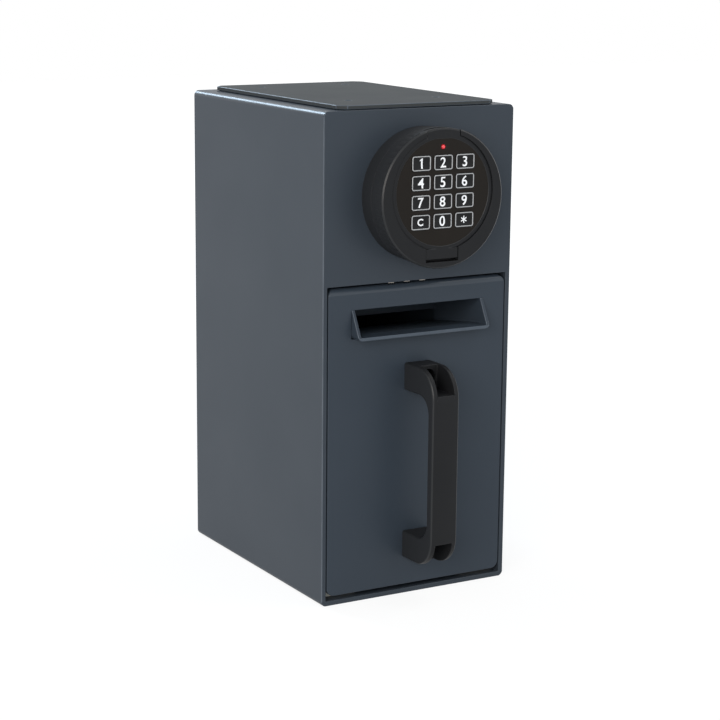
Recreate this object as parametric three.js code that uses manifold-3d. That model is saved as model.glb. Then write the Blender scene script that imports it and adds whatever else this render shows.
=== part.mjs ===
// Drop safe with deposit drawer: a welded steel housing with a comb-bolt keypad lock above a pull-out
// drawer that has a deposit chute in its front.
// Millimetres, +X right as seen from the front, +Y to the back, +Z up.
// The origin is the middle of the housing's underside.

import * as THREE from 'three';
import { mergeVertices } from 'three/addons/utils/BufferGeometryUtils.js';
import Module from 'manifold-3d';

const wasm = await Module();
wasm.setup();

// Clearances
const touchGap = 0.3;
const runningGap = 0.1;
const cutOverrun = 2;

// Facet counts
const gripBendSteps = 6;
const cornerSteps = 3;
const keyCornerSteps = 1;
const slotSteps = 2;
const hexSides = 6;
const smallSides = 12;
const shaftSides = 24;
const knobSides = 60;

// Housing: one folded wrap with a lock panel welded flush into its upper front
const housingWidth = 132;
const housingDepth = 174;
const housingHeight = 300;
const housingSheet = 3;
const housingFoldRadius = 3.2;

// Mounting plate on the roof
const plateWidth = 109.2;
const plateFrontInset = 1.2;
const plateBackInset = 5.6;
const plateSheet = 2.4;
const plateCornerCut = 5;
const plateHoleSpanX = 62;
const plateHoleFront = 33.5;
const plateHoleBack = 27.6;
const plateHoleRadius = 2.25;
const padHeight = 0.4;
const padRadius = 7;

// Shelf between the lock space and the drawer bay
const shelfSheet = 1.5;
const shelfBendRadius = 2;
const shelfFlangeHeight = 14;
const stopTabWidth = 30;
const stopTabDrop = 8;
const stopTabBehindReturn = 3.5;

// Glide strips and rear buffers
const glideHeight = 3;
const glideInner = 38;
const glideLipHeight = 12;
const glideFrontInset = 8;
const glideBackInset = 6;
const glidePegRadius = 1.8;
const glidePegCount = 3;
const bufferRadius = 6;
const bufferTipShare = 0.7;
const bufferSpan = 70;
const bufferHeight = 42;

// Drawer front
const drawerSideGap = 0.8;
const drawerTopGap = 1.3;
const drawerBottom = 5.8;
const drawerSheet = 3;
const drawerCornerRadius = 5;
const drawerBendRadius = 4;
const drawerReturnDepth = 20;

// Drawer tub
const tubSheet = 1.5;
const tubBendRadius = 2.5;
const tubSideGap = 4.3;
const tubBackInset = 6;
const tubWallDrop = 13.2;
const tubBackDrop = 3.2;
const tubHemDepth = 6;
const tubFrontFlange = 10;
const tubFlangeDrop = 14.4;

// Deposit chute
const chuteSideClear = 10.8;
const chuteSheet = 2;
const chuteBendRadius = 3;
const chuteTopDrop = 13.6;
const chuteMouthHeight = 17.5;
const chuteLipReach = 8.5;
const chuteTopReach = 0.3;
const chuteInnerDepth = 49;
const chuteSlopeShare = 0.14;
const baffleSheet = 1.5;
const baffleDrop = 15.1;

// Handle
const handleHalfWidth = 9.25;
const handleDrop = 17.6;
const handleBottom = 23.6;
const handleReach = 34;
const handleOuterRadius = 18;
const handleLegHeight = 17;
const handleGripThickness = 6.5;
const handleInnerRadius = 11;
const handleRecessHalfWidth = 6;
const handleRecessStart = 13;
const handleRecessHeight = 15.2;
const handleEdgeCut = 1.6;
const handleFrontFall = 0.6;
const handleSeatThickness = 5;
const handleBoreRadius = 4.9;
const handleScrewRadius = 2.5;
const handleScrewHeadRadius = 4.3;
const handleScrewHeadHeight = 3;
const handleScrewSocketRadius = 2.2;
const handleScrewSocketDepth = 1.8;
const handleNutRadius = 4.6;
const handleNutHeight = 4;
const handleScrewOvershoot = 1;

// Keypad knob
const knobRimWidth = 3.7;
const knobTaper = 1.4;
const knobEdgeRound = 0.9;
const knobBaseDepth = 12;
const knobPartingGap = 0.4;
const knobBaseWall = 3;
const knobBaseFloor = 2;
const knobCupWall = 2;
const knobFloorThickness = 2;

// Keypad lid in the knob's face
const lidOffset = 3.6;
const keypadMargin = 3.834;
const lidPocketGap = 0.45;
const lidSetBack = 0.4;
const lidPlate = 1.3;
const lidDepth = 5.4;
const lidSkirt = 2;
const lidEdgeRound = 0.8;
const lidRimWidth = 2.4;
const lidFaceSink = 0.25;
const tabHalfWidth = 10.9;
const tabLength = 5;
const tabDepth = 4.6;
const tabUndercut = 1.9;
const tabSideGap = 0.4;
const knuckleRadius = 3.3;
const knuckleHalfLength = 11.2;
const knuckleStandOff = 0.2;
const knuckleCrownInset = 0.4;
const hingePinRadius = 0.7;
const hingePinHalfLength = 12.6;
const hingePinSetBack = 1.5;

// Keys, lamp and circuit board behind the lid's face
const keyWidth = 12.6;
const keyHeight = 8.65;
const keyCornerRadius = 1.4;
const keySpaceX = 2.5;
const keySpaceZ = 2.85;
const keypadRise = 0.25;
const keyProud = 0.3;
const keyTravel = 0.6;
const keyFlange = 0.6;
const keyFlangeThickness = 0.7;
const keySideGap = 0.3;
const keyDish = 0.35;
const keyDishRim = 0.9;
const lampRadius = 1.5;
const lampAboveKeys = 4.775;
const boardThickness = 1.2;
const boardGap = 0.4;
const boardPostRadius = 2;
const boardPegRadius = 0.9;
const boardPegHeadRadius = 1.8;
const boardPegHeadHeight = 0.7;
const boardPostInset = 7.2;
const chipSize = 11;
const chipHeight = 1.1;

// Battery space inside the knob
const cellRadius = 5.2;
const cellLength = 44;
const cellNubRadius = 1.9;
const cellNubLength = 1;
const cellSpace = 0.6;
const cellFrontGap = 2;
const cellCount = 3;
const cellWall = 1.4;
const cellWallHeight = 8;
const contactThickness = 0.5;
const contactWidth = 7;
const contactHeight = 6;

// Spindle, bush and clip
const spindleRadius = 4;
const spindleFlangeRadius = 11;
const spindleFlangeThickness = 2;
const spindleNoseRadius = 3;
const spindleFlatInset = 0.8;
const spindleScrewRadius = 1.2;
const spindleScrewHeadRadius = 2.2;
const spindleScrewReach = 7.5;
const spindleScrewSink = 1.2;
const bushWall = 2;
const bushFlangeWidth = 2;
const bushFlangeThickness = 1;
const clipThickness = 0.8;
const clipWidth = 2.2;
const clipGrooveDepth = 0.5;
const clipMouth = 3;
const clipNoseTail = 1.2;

// Rack and pinion, and the comb bolt behind the lock panel
const gearModule = 0.9;
const pinionTeeth = 14;
const pressureAngle = THREE.MathUtils.degToRad(25);
const gearBacklash = 0.12;
const rackAddendumShare = 0.8;
const dedendumShare = 1.25;
const lockTurn = Math.PI / 2;
const boltSheet = 3;
const boltPanelGap = 0.4;
const fingerPitch = 10.9;
const fingerWidth = 4;
const fingerLength = 13.2;
const fingerTipGap = 0.35;
const boltRight = 16;
const combFootMargin = 8.45;
const combTopMargin = 3.304;
const boltCornerRadius = 2;
const windowRight = 9;
const windowClearance = 1.3;
const strikeSideGap = 0.8;
const strikeDepthGap = 0.8;

// Lock case with the two studs that guide the comb and carry the case
const caseSideGap = 1.3;
const caseSheet = 1.5;
const caseBendRadius = 2;
const caseShelfGap = 1.8;
const caseTopMargin = 3.5;
const caseRoofGap = 3.5;
const studRadius = 2.5;
const studLower = 29;
const studUpper = 25;
const studThreadRadius = 1.9;
const studThreadLength = 5;
const caseNutRadius = 3.9;
const caseNutHeight = 3.2;

// Solenoid that blocks the bolt
const solenoidX = 9;
const solenoidDrop = 27;
const solenoidWidth = 16;
const solenoidLength = 24;
const solenoidPlate = 1.6;
const coilRadius = 6.2;
const coilFlangeRadius = 6.9;
const coilFlangeThickness = 1.2;
const plungerRadius = 2;
const plungerStroke = 3;
const plungerCapRadius = 4;
const plungerCapThickness = 1.5;
const solenoidScrewRadius = 1.2;
const solenoidScrewHeadRadius = 2.2;
const solenoidScrewHeadHeight = 1.1;
const solenoidScrewSpan = 22;
const solenoidLugReach = 3.4;

// Screws that hold the knob base from inside the housing
const baseScrewInset = 7.3;
const baseScrewRadius = 1.6;
const baseScrewHeadRadius = 3.2;
const baseScrewHeadHeight = 2;
const baseBossRadius = 3.6;
const baseBossHeight = 2.4;

// Places that follow from the sizes above
const frontY = -housingDepth / 2;
const backY = housingDepth / 2;
const innerHalfWidth = housingWidth / 2 - housingSheet;
const innerTop = housingHeight - housingSheet;

const pitchRadius = gearModule * pinionTeeth / 2;
const boltStroke = pitchRadius * lockTurn;
const combCentre = -pitchRadius;
const boltLeft = combCentre - fingerPitch - fingerWidth / 2;
const studSlotRadius = studRadius + touchGap;
const boltTop = studUpper + boltStroke + studSlotRadius + combTopMargin;
const combFoot = -studLower - studSlotRadius - combFootMargin;
const fingerTip = combFoot - fingerLength;
const boltFrontY = housingSheet + boltPanelGap;
const boltBackY = boltFrontY + boltSheet;
const caseFloorY = boltBackY + boltPanelGap;
const caseTop = boltTop + caseTopMargin;
const caseHalfWidth = caseSheet + caseSideGap - boltLeft;
const studX = combCentre;

const lockAxisHeight = innerTop - caseRoofGap - caseTop;
const drawerTop = lockAxisHeight + fingerTip - fingerTipGap;
const bayHeight = drawerTop + drawerTopGap;
const caseBottom = lockAxisHeight - bayHeight - shelfSheet - caseShelfGap;

const drawerHalfWidth = innerHalfWidth - drawerSideGap;
const tubHalfWidth = innerHalfWidth - tubSideGap;
const tubBottom = housingSheet + glideHeight + touchGap;
const tubBackY = backY - housingSheet - tubBackInset;
const tubWallTop = drawerTop - tubWallDrop;
const tubBackTop = drawerTop - tubBackDrop;
const chuteHalfWidth = tubHalfWidth - tubSheet - chuteSideClear;
const chuteTop = drawerTop - chuteTopDrop;
const chuteLipBottom = chuteTop - chuteMouthHeight;
const baffleLowerEdge = chuteTop - baffleDrop;
const tubFrontFlangeTop = chuteLipBottom - tubFlangeDrop;
const handleTop = chuteLipBottom - handleDrop;

const keyPitchX = keyWidth + keySpaceX;
const keyPitchZ = keyHeight + keySpaceZ;
const keyTopRow = keypadRise + keyPitchZ * 3 / 2;
const keypadHalfWidth = keyPitchX + keyWidth / 2;
const keypadTop = keyTopRow + keyHeight / 2;
const lampRise = keypadTop + lampAboveKeys;
const lidRadius = Math.hypot(keypadHalfWidth, keypadTop) + keypadMargin;
const lidFaceRadius = lidRadius - lidRimWidth;
const boardPostReach = lidRadius - boardPostInset;
const tabReach = lidRadius + tabLength;
const knuckleRise = lidOffset + lidRadius + knuckleStandOff;

const knobFrontRadius = lidRadius + lidOffset + knobRimWidth;
const knobRearRadius = knobFrontRadius - knobTaper;
const knobCupRadius = knobRearRadius - knobBaseWall - knobPartingGap;
const baseScrewReach = knobRearRadius - baseScrewInset;
const cellPitch = 2 * cellRadius + cellSpace;
const spindleFlangeFront = knobBaseFloor + bushFlangeThickness + touchGap + spindleFlangeThickness;
const knobFloorFront = spindleFlangeFront + knobFloorThickness;
const cellFront = knobFloorFront + touchGap + 2 * cellRadius;
const boardFront = cellFront + cellFrontGap + chipHeight + boardThickness;
const lidFront = boardFront + boardGap + keyTravel + touchGap + keyFlangeThickness + lidPlate;
const lidBack = lidFront - lidDepth;
const knobReach = lidFront + lidSetBack;

// Turns a closed geometry into a solid with shared corners and its faces outwards
function solidOf(geometry) {
  const bare = geometry.clone();
  bare.deleteAttribute('normal');
  bare.deleteAttribute('uv');
  const merged = mergeVertices(bare);
  const points = merged.attributes.position.array;
  const corners = merged.index.array;
  const triangles = [];
  let volume = 0;
  for (let i = 0; i < corners.length; i += 3) {
    const [a, b, c] = [corners[i], corners[i + 1], corners[i + 2]];
    if (a === b || b === c || c === a) continue;
    triangles.push([a, b, c]);
    const [p, q, r] = [a, b, c].map((n) => new THREE.Vector3().fromArray(points, n * 3));
    volume += p.dot(q.cross(r));
  }
  const outward = triangles.flatMap(([a, b, c]) => (volume < 0 ? [a, c, b] : [a, b, c]));
  return new wasm.Manifold(new wasm.Mesh({
    numProp: 3,
    vertProperties: new Float32Array(points),
    triVerts: new Uint32Array(outward),
  }));
}

function geometryOf(solid) {
  const result = solid.getMesh();
  const geometry = new THREE.BufferGeometry();
  geometry.setAttribute('position', new THREE.BufferAttribute(new Float32Array(result.vertProperties), 3));
  geometry.setIndex(new THREE.BufferAttribute(new Uint32Array(result.triVerts), 1));
  geometry.computeVertexNormals();
  return geometry;
}

function joined(...solids) {
  return solids.reduce((sum, next) => sum.add(next));
}

function cut(body, ...tools) {
  return tools.reduce((rest, tool) => rest.subtract(tool), body);
}

// Outlines
function outline(points) {
  return new THREE.Shape(points.map(([x, y]) => new THREE.Vector2(x, y)));
}

function roundedRectangle(left, bottom, right, top, radius) {
  const shape = new THREE.Shape();
  shape.absarc(right - radius, bottom + radius, radius, -Math.PI / 2, 0, false);
  shape.absarc(right - radius, top - radius, radius, 0, Math.PI / 2, false);
  shape.absarc(left + radius, top - radius, radius, Math.PI / 2, Math.PI, false);
  shape.absarc(left + radius, bottom + radius, radius, Math.PI, Math.PI * 1.5, false);
  shape.closePath();
  return shape;
}

// A folded channel seen on its end: a base at the bottom and a wall up each side
function channel(halfWidth, bottom, top, sheet, bendRadius) {
  const inner = bendRadius - sheet;
  const shape = new THREE.Shape();
  shape.moveTo(-halfWidth, top);
  shape.lineTo(-halfWidth, bottom + bendRadius);
  shape.absarc(-halfWidth + bendRadius, bottom + bendRadius, bendRadius, Math.PI, Math.PI * 1.5, false);
  shape.absarc(halfWidth - bendRadius, bottom + bendRadius, bendRadius, -Math.PI / 2, 0, false);
  shape.lineTo(halfWidth, top);
  shape.lineTo(halfWidth - sheet, top);
  shape.absarc(halfWidth - bendRadius, bottom + bendRadius, inner, 0, -Math.PI / 2, true);
  shape.absarc(-halfWidth + bendRadius, bottom + bendRadius, inner, -Math.PI / 2, -Math.PI, true);
  shape.lineTo(-halfWidth + sheet, top);
  shape.closePath();
  return shape;
}

// Prisms: an outline drawn across the named axis, carried from one place to another along it
function prism(shape, from, to, basis, steps) {
  const geometry = new THREE.ExtrudeGeometry(shape, {
    depth: to - from,
    bevelEnabled: false,
    curveSegments: steps,
  });
  geometry.translate(0, 0, from);
  geometry.applyMatrix4(basis);
  return solidOf(geometry);
}

const unitX = new THREE.Vector3(1, 0, 0);
const unitY = new THREE.Vector3(0, 1, 0);
const unitZ = new THREE.Vector3(0, 0, 1);
const alongX = new THREE.Matrix4().makeBasis(unitY, unitZ, unitX);
const alongY = new THREE.Matrix4().makeBasis(unitX, unitZ, unitY);
const alongZ = new THREE.Matrix4();

function prismX(shape, from, to, steps = cornerSteps) {
  return prism(shape, from, to, alongX, steps);
}

function prismY(shape, from, to, steps = cornerSteps) {
  return prism(shape, from, to, alongY, steps);
}

function prismZ(shape, from, to, steps = cornerSteps) {
  return prism(shape, from, to, alongZ, steps);
}

function block(x0, y0, z0, x1, y1, z1) {
  const box = new THREE.BoxGeometry(x1 - x0, y1 - y0, z1 - z0);
  box.translate((x0 + x1) / 2, (y0 + y1) / 2, (z0 + z1) / 2);
  return solidOf(box);
}

function rodY(radius, from, to, x = 0, z = 0, sides = smallSides) {
  const rod = new THREE.CylinderGeometry(radius, radius, to - from, sides);
  rod.translate(x, (from + to) / 2, z);
  return solidOf(rod);
}

function rodX(radius, from, to, y, z, sides = smallSides) {
  const rod = new THREE.CylinderGeometry(radius, radius, to - from, sides);
  rod.rotateZ(Math.PI / 2);
  rod.translate((from + to) / 2, y, z);
  return solidOf(rod);
}

function rodZ(radius, from, to, x, y, sides = smallSides) {
  const rod = new THREE.CylinderGeometry(radius, radius, to - from, sides);
  rod.rotateX(Math.PI / 2);
  rod.translate(x, y, (from + to) / 2);
  return solidOf(rod);
}

// A turned piece: pairs of radius and reach in front of the lock panel, turned about the Y axis
function turned(pairs, sides, x = 0, z = 0) {
  const points = pairs.map(([radius, reach]) => new THREE.Vector2(radius, -reach));
  const lathe = new THREE.LatheGeometry(points, sides);
  lathe.translate(x, 0, z);
  return solidOf(lathe);
}

function closedProfile(pairs) {
  return [...pairs, pairs[0]];
}

function mirrored(make, offset) {
  return joined(make(-offset), make(offset));
}

// Materials
const powderCoat = () => new THREE.MeshStandardMaterial({ color: 0x474c54, roughness: 0.55, metalness: 0.2 });
const drawerCoat = () => new THREE.MeshStandardMaterial({ color: 0x434a53, roughness: 0.55, metalness: 0.2 });
const blackPlastic = () => new THREE.MeshStandardMaterial({ color: 0x2b2c2d, roughness: 0.6, metalness: 0 });
const keypadFace = () => new THREE.MeshStandardMaterial({ color: 0x2b2724, roughness: 0.5, metalness: 0 });
const keyPlastic = () => new THREE.MeshStandardMaterial({ color: 0x24262a, roughness: 0.45, metalness: 0 });
const redLens = () => new THREE.MeshStandardMaterial({ color: 0xd02028, roughness: 0.2, metalness: 0 });
const zincSteel = () => new THREE.MeshStandardMaterial({ color: 0xa8acb0, roughness: 0.4, metalness: 0.9 });
const darkSteel = () => new THREE.MeshStandardMaterial({ color: 0x5c6166, roughness: 0.45, metalness: 0.8 });
const brass = () => new THREE.MeshStandardMaterial({ color: 0xb89a54, roughness: 0.35, metalness: 0.9 });
const boardGreen = () => new THREE.MeshStandardMaterial({ color: 0x1f5a3a, roughness: 0.5, metalness: 0 });
const cellWrap = () => new THREE.MeshStandardMaterial({ color: 0x6b7078, roughness: 0.35, metalness: 0.4 });
const coilWrap = () => new THREE.MeshStandardMaterial({ color: 0x8a3f1e, roughness: 0.4, metalness: 0.2 });
const naturalNylon = () => new THREE.MeshStandardMaterial({ color: 0xd8d6cc, roughness: 0.6, metalness: 0 });
const blackRubber = () => new THREE.MeshStandardMaterial({ color: 0x1c1c1c, roughness: 0.9, metalness: 0 });

function part(name, solid, material, x = 0, y = 0, z = 0) {
  const mesh = new THREE.Mesh(geometryOf(solid), material());
  mesh.name = name;
  mesh.position.set(x, y, z);
  return mesh;
}

// Fixing points that more than one piece shares
function plateHoles() {
  const frontHole = frontY + plateHoleFront;
  const backHole = backY - plateHoleBack;
  const places = [];
  for (const x of [-plateHoleSpanX / 2, plateHoleSpanX / 2]) {
    places.push([x, frontHole], [x, backHole]);
  }
  return places;
}

function glidePegs() {
  const start = frontY + glideFrontInset;
  const length = backY - housingSheet - glideBackInset - start;
  const places = [];
  for (let i = 0; i < glidePegCount; i += 1) places.push(start + length * (i + 0.5) / glidePegCount);
  return places;
}

function studHeights() {
  return [-studLower, studUpper];
}

function fingerCentres() {
  return [-1, 0, 1].map((n) => combCentre + n * fingerPitch);
}

// Housing pieces
function housingShell() {
  const wrap = roundedRectangle(
    -housingWidth / 2, 0, housingWidth / 2, housingHeight, housingFoldRadius);
  wrap.holes.push(outline([
    [-innerHalfWidth, housingSheet], [innerHalfWidth, housingSheet],
    [innerHalfWidth, innerTop], [-innerHalfWidth, innerTop]]));
  const panel = block(
    -innerHalfWidth - housingSheet / 2, frontY, bayHeight,
    innerHalfWidth + housingSheet / 2, frontY + housingSheet, innerTop + housingSheet / 2);
  const panelBack = frontY + housingSheet;
  const bushHole = rodY(
    spindleRadius + runningGap + bushWall + touchGap, frontY - cutOverrun, panelBack + cutOverrun,
    0, lockAxisHeight, shaftSides);
  const baseScrewHoles = mirrored((x) => rodY(
    baseScrewRadius + touchGap, frontY - cutOverrun, panelBack + cutOverrun, x, lockAxisHeight),
  baseScrewReach);
  const roofHoles = plateHoles().map(([x, y]) => rodZ(
    plateHoleRadius, innerTop - cutOverrun, housingHeight + cutOverrun, x, y));
  const floorHoles = glidePegs().map((y) => mirrored((x) => rodZ(
    glidePegRadius + touchGap, -cutOverrun, housingSheet + cutOverrun, x, y), glidePegX()));
  const body = joined(prismY(wrap, frontY, backY), panel);
  return cut(body, bushHole, baseScrewHoles, ...roofHoles, ...floorHoles);
}

function rearPanel() {
  const plate = roundedRectangle(
    -innerHalfWidth, housingSheet, innerHalfWidth, innerTop, housingFoldRadius);
  return prismY(plate, backY - housingSheet, backY);
}

function mountingPlate() {
  const left = -plateWidth / 2;
  const right = plateWidth / 2;
  const front = frontY + plateFrontInset;
  const back = backY - plateBackInset;
  const c = plateCornerCut;
  const shape = outline([
    [left + c, front], [right - c, front], [right, front + c], [right, back - c],
    [right - c, back], [left + c, back], [left, back - c], [left, front + c]]);
  const bottom = housingHeight + padHeight;
  const top = bottom + plateSheet;
  const pads = plateHoles().map(([x, y]) => rodZ(
    padRadius, housingHeight, bottom + plateSheet / 2, x, y));
  const holes = plateHoles().map(([x, y]) => rodZ(
    plateHoleRadius, housingHeight - cutOverrun, top + cutOverrun, x, y));
  return cut(joined(prismZ(shape, bottom, top), ...pads), ...holes);
}

function dividerShelf() {
  const front = frontY + housingSheet;
  const back = backY - housingSheet;
  const section = channel(
    innerHalfWidth, bayHeight, bayHeight + shelfFlangeHeight, shelfSheet, shelfBendRadius);
  const notch = block(
    boltLeft - cutOverrun, front - cutOverrun, bayHeight - cutOverrun,
    combCentre + fingerPitch + fingerWidth / 2 + cutOverrun, frontY + boltBackY + cutOverrun,
    bayHeight + shelfBendRadius);
  const tabFront = frontY + drawerReturnDepth + stopTabBehindReturn;
  const tab = block(
    -stopTabWidth / 2, tabFront, bayHeight - stopTabDrop,
    stopTabWidth / 2, tabFront + shelfSheet, bayHeight + shelfSheet / 2);
  return joined(cut(prismY(section, front, back), notch), tab);
}

function glidePegX() {
  return (glideInner + tubHalfWidth) / 2;
}

// One side's glide strip with its moulded pegs; side is 1 for the right and -1 for the left
function glideStrip(side) {
  const front = frontY + glideFrontInset;
  const back = backY - housingSheet - glideBackInset;
  const lipInner = tubHalfWidth + touchGap;
  const outer = innerHalfWidth - touchGap;
  const bottom = housingSheet;
  const bed = bottom + glideHeight;
  const lip = bottom + glideLipHeight;
  const corners = [
    [glideInner, bottom], [outer, bottom], [outer, lip], [lipInner, lip], [lipInner, bed], [glideInner, bed]];
  const section = outline(corners.map(([x, z]) => [side * x, z]));
  const pegs = glidePegs().map((y) => rodZ(
    glidePegRadius, touchGap, bottom + glideHeight / 2, side * glidePegX(), y));
  return joined(prismY(section, front, back), ...pegs);
}

function rearBuffer(x) {
  const back = backY - housingSheet;
  const front = tubBackY + touchGap;
  const middle = (back + front) / 2;
  const tipRadius = bufferRadius * bufferTipShare;
  return turned([
    [0, -back], [bufferRadius, -back], [bufferRadius, -middle], [tipRadius, -front], [0, -front]],
  smallSides, x, bufferHeight);
}

// Drawer pieces
function drawerFront() {
  const face = frontY + drawerSheet;
  const inner = drawerBendRadius - drawerSheet;
  const side = new THREE.Shape();
  side.moveTo(frontY, drawerBottom);
  side.lineTo(face, drawerBottom);
  side.absarc(frontY + drawerBendRadius, drawerTop - drawerBendRadius, inner, Math.PI, Math.PI / 2, true);
  side.lineTo(frontY + drawerReturnDepth, drawerTop - drawerSheet);
  side.lineTo(frontY + drawerReturnDepth, drawerTop);
  side.absarc(
    frontY + drawerBendRadius, drawerTop - drawerBendRadius, drawerBendRadius, Math.PI / 2, Math.PI, false);
  side.closePath();
  const folded = prismX(side, -drawerHalfWidth, drawerHalfWidth);
  const rounded = prismY(
    roundedRectangle(-drawerHalfWidth, drawerBottom, drawerHalfWidth, drawerTop, drawerCornerRadius),
    frontY - cutOverrun, frontY + drawerReturnDepth + cutOverrun);
  const mouth = block(
    -chuteHalfWidth, frontY - cutOverrun, chuteLipBottom, chuteHalfWidth, face + cutOverrun, chuteTop);
  const weldNuts = handleScrewHeights().map((z) => rodY(
    handleNutRadius, face - drawerSheet / 2, face + handleNutHeight, 0, z, hexSides));
  const screwHoles = handleScrewHeights().map((z) => rodY(
    handleScrewRadius + touchGap, frontY - cutOverrun, face + handleNutHeight + cutOverrun, 0, z));
  const slots = fingerCentres().map((x) => block(
    x - fingerWidth / 2 - strikeSideGap, frontY + boltFrontY - strikeDepthGap, drawerTop - drawerBendRadius,
    x + fingerWidth / 2 + strikeSideGap, frontY + boltBackY + strikeDepthGap, drawerTop + cutOverrun));
  return cut(joined(folded.intersect(rounded), ...weldNuts), mouth, ...screwHoles, ...slots);
}

function drawerTub() {
  const front = frontY + drawerSheet;
  const shell = prismY(
    channel(tubHalfWidth, tubBottom, tubWallTop, tubSheet, tubBendRadius), front, tubBackY);
  const back = prismY(
    roundedRectangle(-tubHalfWidth, tubBottom, tubHalfWidth, tubBackTop, tubBendRadius),
    tubBackY - tubSheet, tubBackY);
  const hemStart = frontY + drawerReturnDepth;
  const hems = mirrored((x) => block(
    x - tubHemDepth / 2, hemStart, tubWallTop - tubSheet,
    x + tubHemDepth / 2, tubBackY, tubWallTop), tubHalfWidth - tubHemDepth / 2);
  const flanges = mirrored((x) => block(
    x - tubFrontFlange / 2, front, tubBottom + tubBendRadius,
    x + tubFrontFlange / 2, front + tubSheet, tubFrontFlangeTop), tubHalfWidth - tubFrontFlange / 2);
  return joined(shell, back, hems, flanges);
}

// The chute is level through the drawer front and then falls inwards
function depositChute() {
  const kink = frontY + drawerSheet;
  const rear = frontY + drawerSheet + chuteInnerDepth;
  const fall = chuteSlopeShare * chuteInnerDepth;
  const section = channel(
    chuteHalfWidth, chuteLipBottom, chuteTop + fall + cutOverrun, chuteSheet, chuteBendRadius);
  const level = prismY(section, frontY - chuteLipReach, kink);
  const falling = new THREE.ExtrudeGeometry(section, {
    depth: chuteInnerDepth,
    bevelEnabled: false,
    curveSegments: cornerSteps,
  });
  const shear = new THREE.Matrix4().set(
    1, 0, 0, 0,
    0, 0, 1, kink,
    0, 1, -chuteSlopeShare, 0,
    0, 0, 0, 1);
  falling.applyMatrix4(shear);
  const side = outline([
    [frontY - chuteLipReach, chuteLipBottom], [kink, chuteLipBottom], [rear, chuteLipBottom - fall],
    [rear, chuteTop], [frontY - chuteTopReach, chuteTop],
    [frontY - chuteLipReach, chuteLipBottom + chuteSheet]]);
  const sheet = joined(level, solidOf(falling));
  return sheet.intersect(prismX(side, -chuteHalfWidth - cutOverrun, chuteHalfWidth + cutOverrun));
}

// A roof over the chute with a lip that hangs behind it and leaves a gap for notes
function chuteBaffle() {
  const front = frontY + drawerSheet;
  const rear = front + chuteInnerDepth + touchGap;
  const side = outline([
    [front, chuteTop], [rear, chuteTop], [rear, baffleLowerEdge], [rear + baffleSheet, baffleLowerEdge],
    [rear + baffleSheet, chuteTop + baffleSheet], [front, chuteTop + baffleSheet]]);
  return prismX(side, -chuteHalfWidth, chuteHalfWidth);
}

// Handle pieces
function handleScrewHeights() {
  const middle = handleRecessHeight / 2;
  return [handleBottom + middle, handleTop - middle];
}

function handleSide() {
  const outer = handleOuterRadius;
  const inner = handleInnerRadius;
  const gripBack = frontY - handleReach + handleGripThickness;
  const legTop = handleTop - handleLegHeight;
  const legBottom = handleBottom + handleLegHeight;
  const shape = new THREE.Shape();
  shape.moveTo(frontY, handleTop);
  shape.lineTo(frontY - handleReach + outer, handleTop);
  shape.absarc(frontY - handleReach + outer, handleTop - outer, outer, Math.PI / 2, Math.PI, false);
  shape.absarc(frontY - handleReach + outer, handleBottom + outer, outer, Math.PI, Math.PI * 1.5, false);
  shape.lineTo(frontY, handleBottom);
  shape.lineTo(frontY, legBottom);
  shape.absarc(gripBack + inner, legBottom + inner, inner, -Math.PI / 2, -Math.PI, true);
  shape.absarc(gripBack + inner, legTop - inner, inner, Math.PI, Math.PI / 2, true);
  shape.lineTo(frontY, legTop);
  shape.closePath();
  return shape;
}

function handleBody() {
  const front = frontY - handleReach;
  const half = handleHalfWidth;
  const facet = front + handleFrontFall;
  const flank = facet + handleEdgeCut;
  const plan = outline([
    [-half, frontY], [-half, flank], [-half + handleEdgeCut, facet], [0, front],
    [half - handleEdgeCut, facet], [half, flank], [half, frontY]]);
  const body = prismX(handleSide(), -half, half, gripBendSteps).intersect(
    prismZ(plan, handleBottom - cutOverrun, handleTop + cutOverrun));
  const recessBack = frontY - handleRecessStart;
  const recesses = [
    block(
      -handleRecessHalfWidth, front - cutOverrun, handleTop - handleRecessHeight,
      handleRecessHalfWidth, recessBack, handleTop + cutOverrun),
    block(
      -handleRecessHalfWidth, front - cutOverrun, handleBottom - cutOverrun,
      handleRecessHalfWidth, recessBack, handleBottom + handleRecessHeight + touchGap)];
  const seat = frontY - handleSeatThickness;
  const bores = handleScrewHeights().flatMap((z) => [
    rodY(handleBoreRadius, recessBack - cutOverrun, seat, 0, z),
    rodY(handleScrewRadius + touchGap, seat - cutOverrun, frontY + cutOverrun, 0, z)]);
  return cut(body, ...recesses, ...bores);
}

function handleScrew(z) {
  const seat = frontY - handleSeatThickness;
  const head = seat - handleScrewHeadHeight;
  const tail = frontY + drawerSheet + handleNutHeight + handleScrewOvershoot;
  const body = joined(
    rodY(handleScrewRadius, (head + seat) / 2, tail, 0, z),
    rodY(handleScrewHeadRadius, head, seat, 0, z));
  const socket = rodY(
    handleScrewSocketRadius, head - cutOverrun, head + handleScrewSocketDepth, 0, z, hexSides);
  return cut(body, socket);
}

// Knob pieces: reach is measured forwards from the lock panel, heights from the spindle
function knobConeRadius(reach) {
  return knobRearRadius + (knobFrontRadius - knobRearRadius) * reach / knobReach;
}

function knobBase() {
  const bore = spindleRadius + runningGap + bushWall + touchGap;
  const inner = knobRearRadius - knobBaseWall;
  const cup = turned(closedProfile([
    [bore, 0], [knobRearRadius, 0], [knobConeRadius(knobBaseDepth), knobBaseDepth], [inner, knobBaseDepth],
    [inner, knobBaseFloor], [bore, knobBaseFloor]]), knobSides);
  const bosses = mirrored((x) => rodY(
    baseBossRadius, -knobBaseFloor - baseBossHeight, -knobBaseFloor / 2, x), baseScrewReach);
  const holes = mirrored((x) => rodY(
    baseScrewRadius + touchGap, -knobBaseFloor - baseBossHeight / 2, cutOverrun, x), baseScrewReach);
  return cut(joined(cup, bosses), holes);
}

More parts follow.
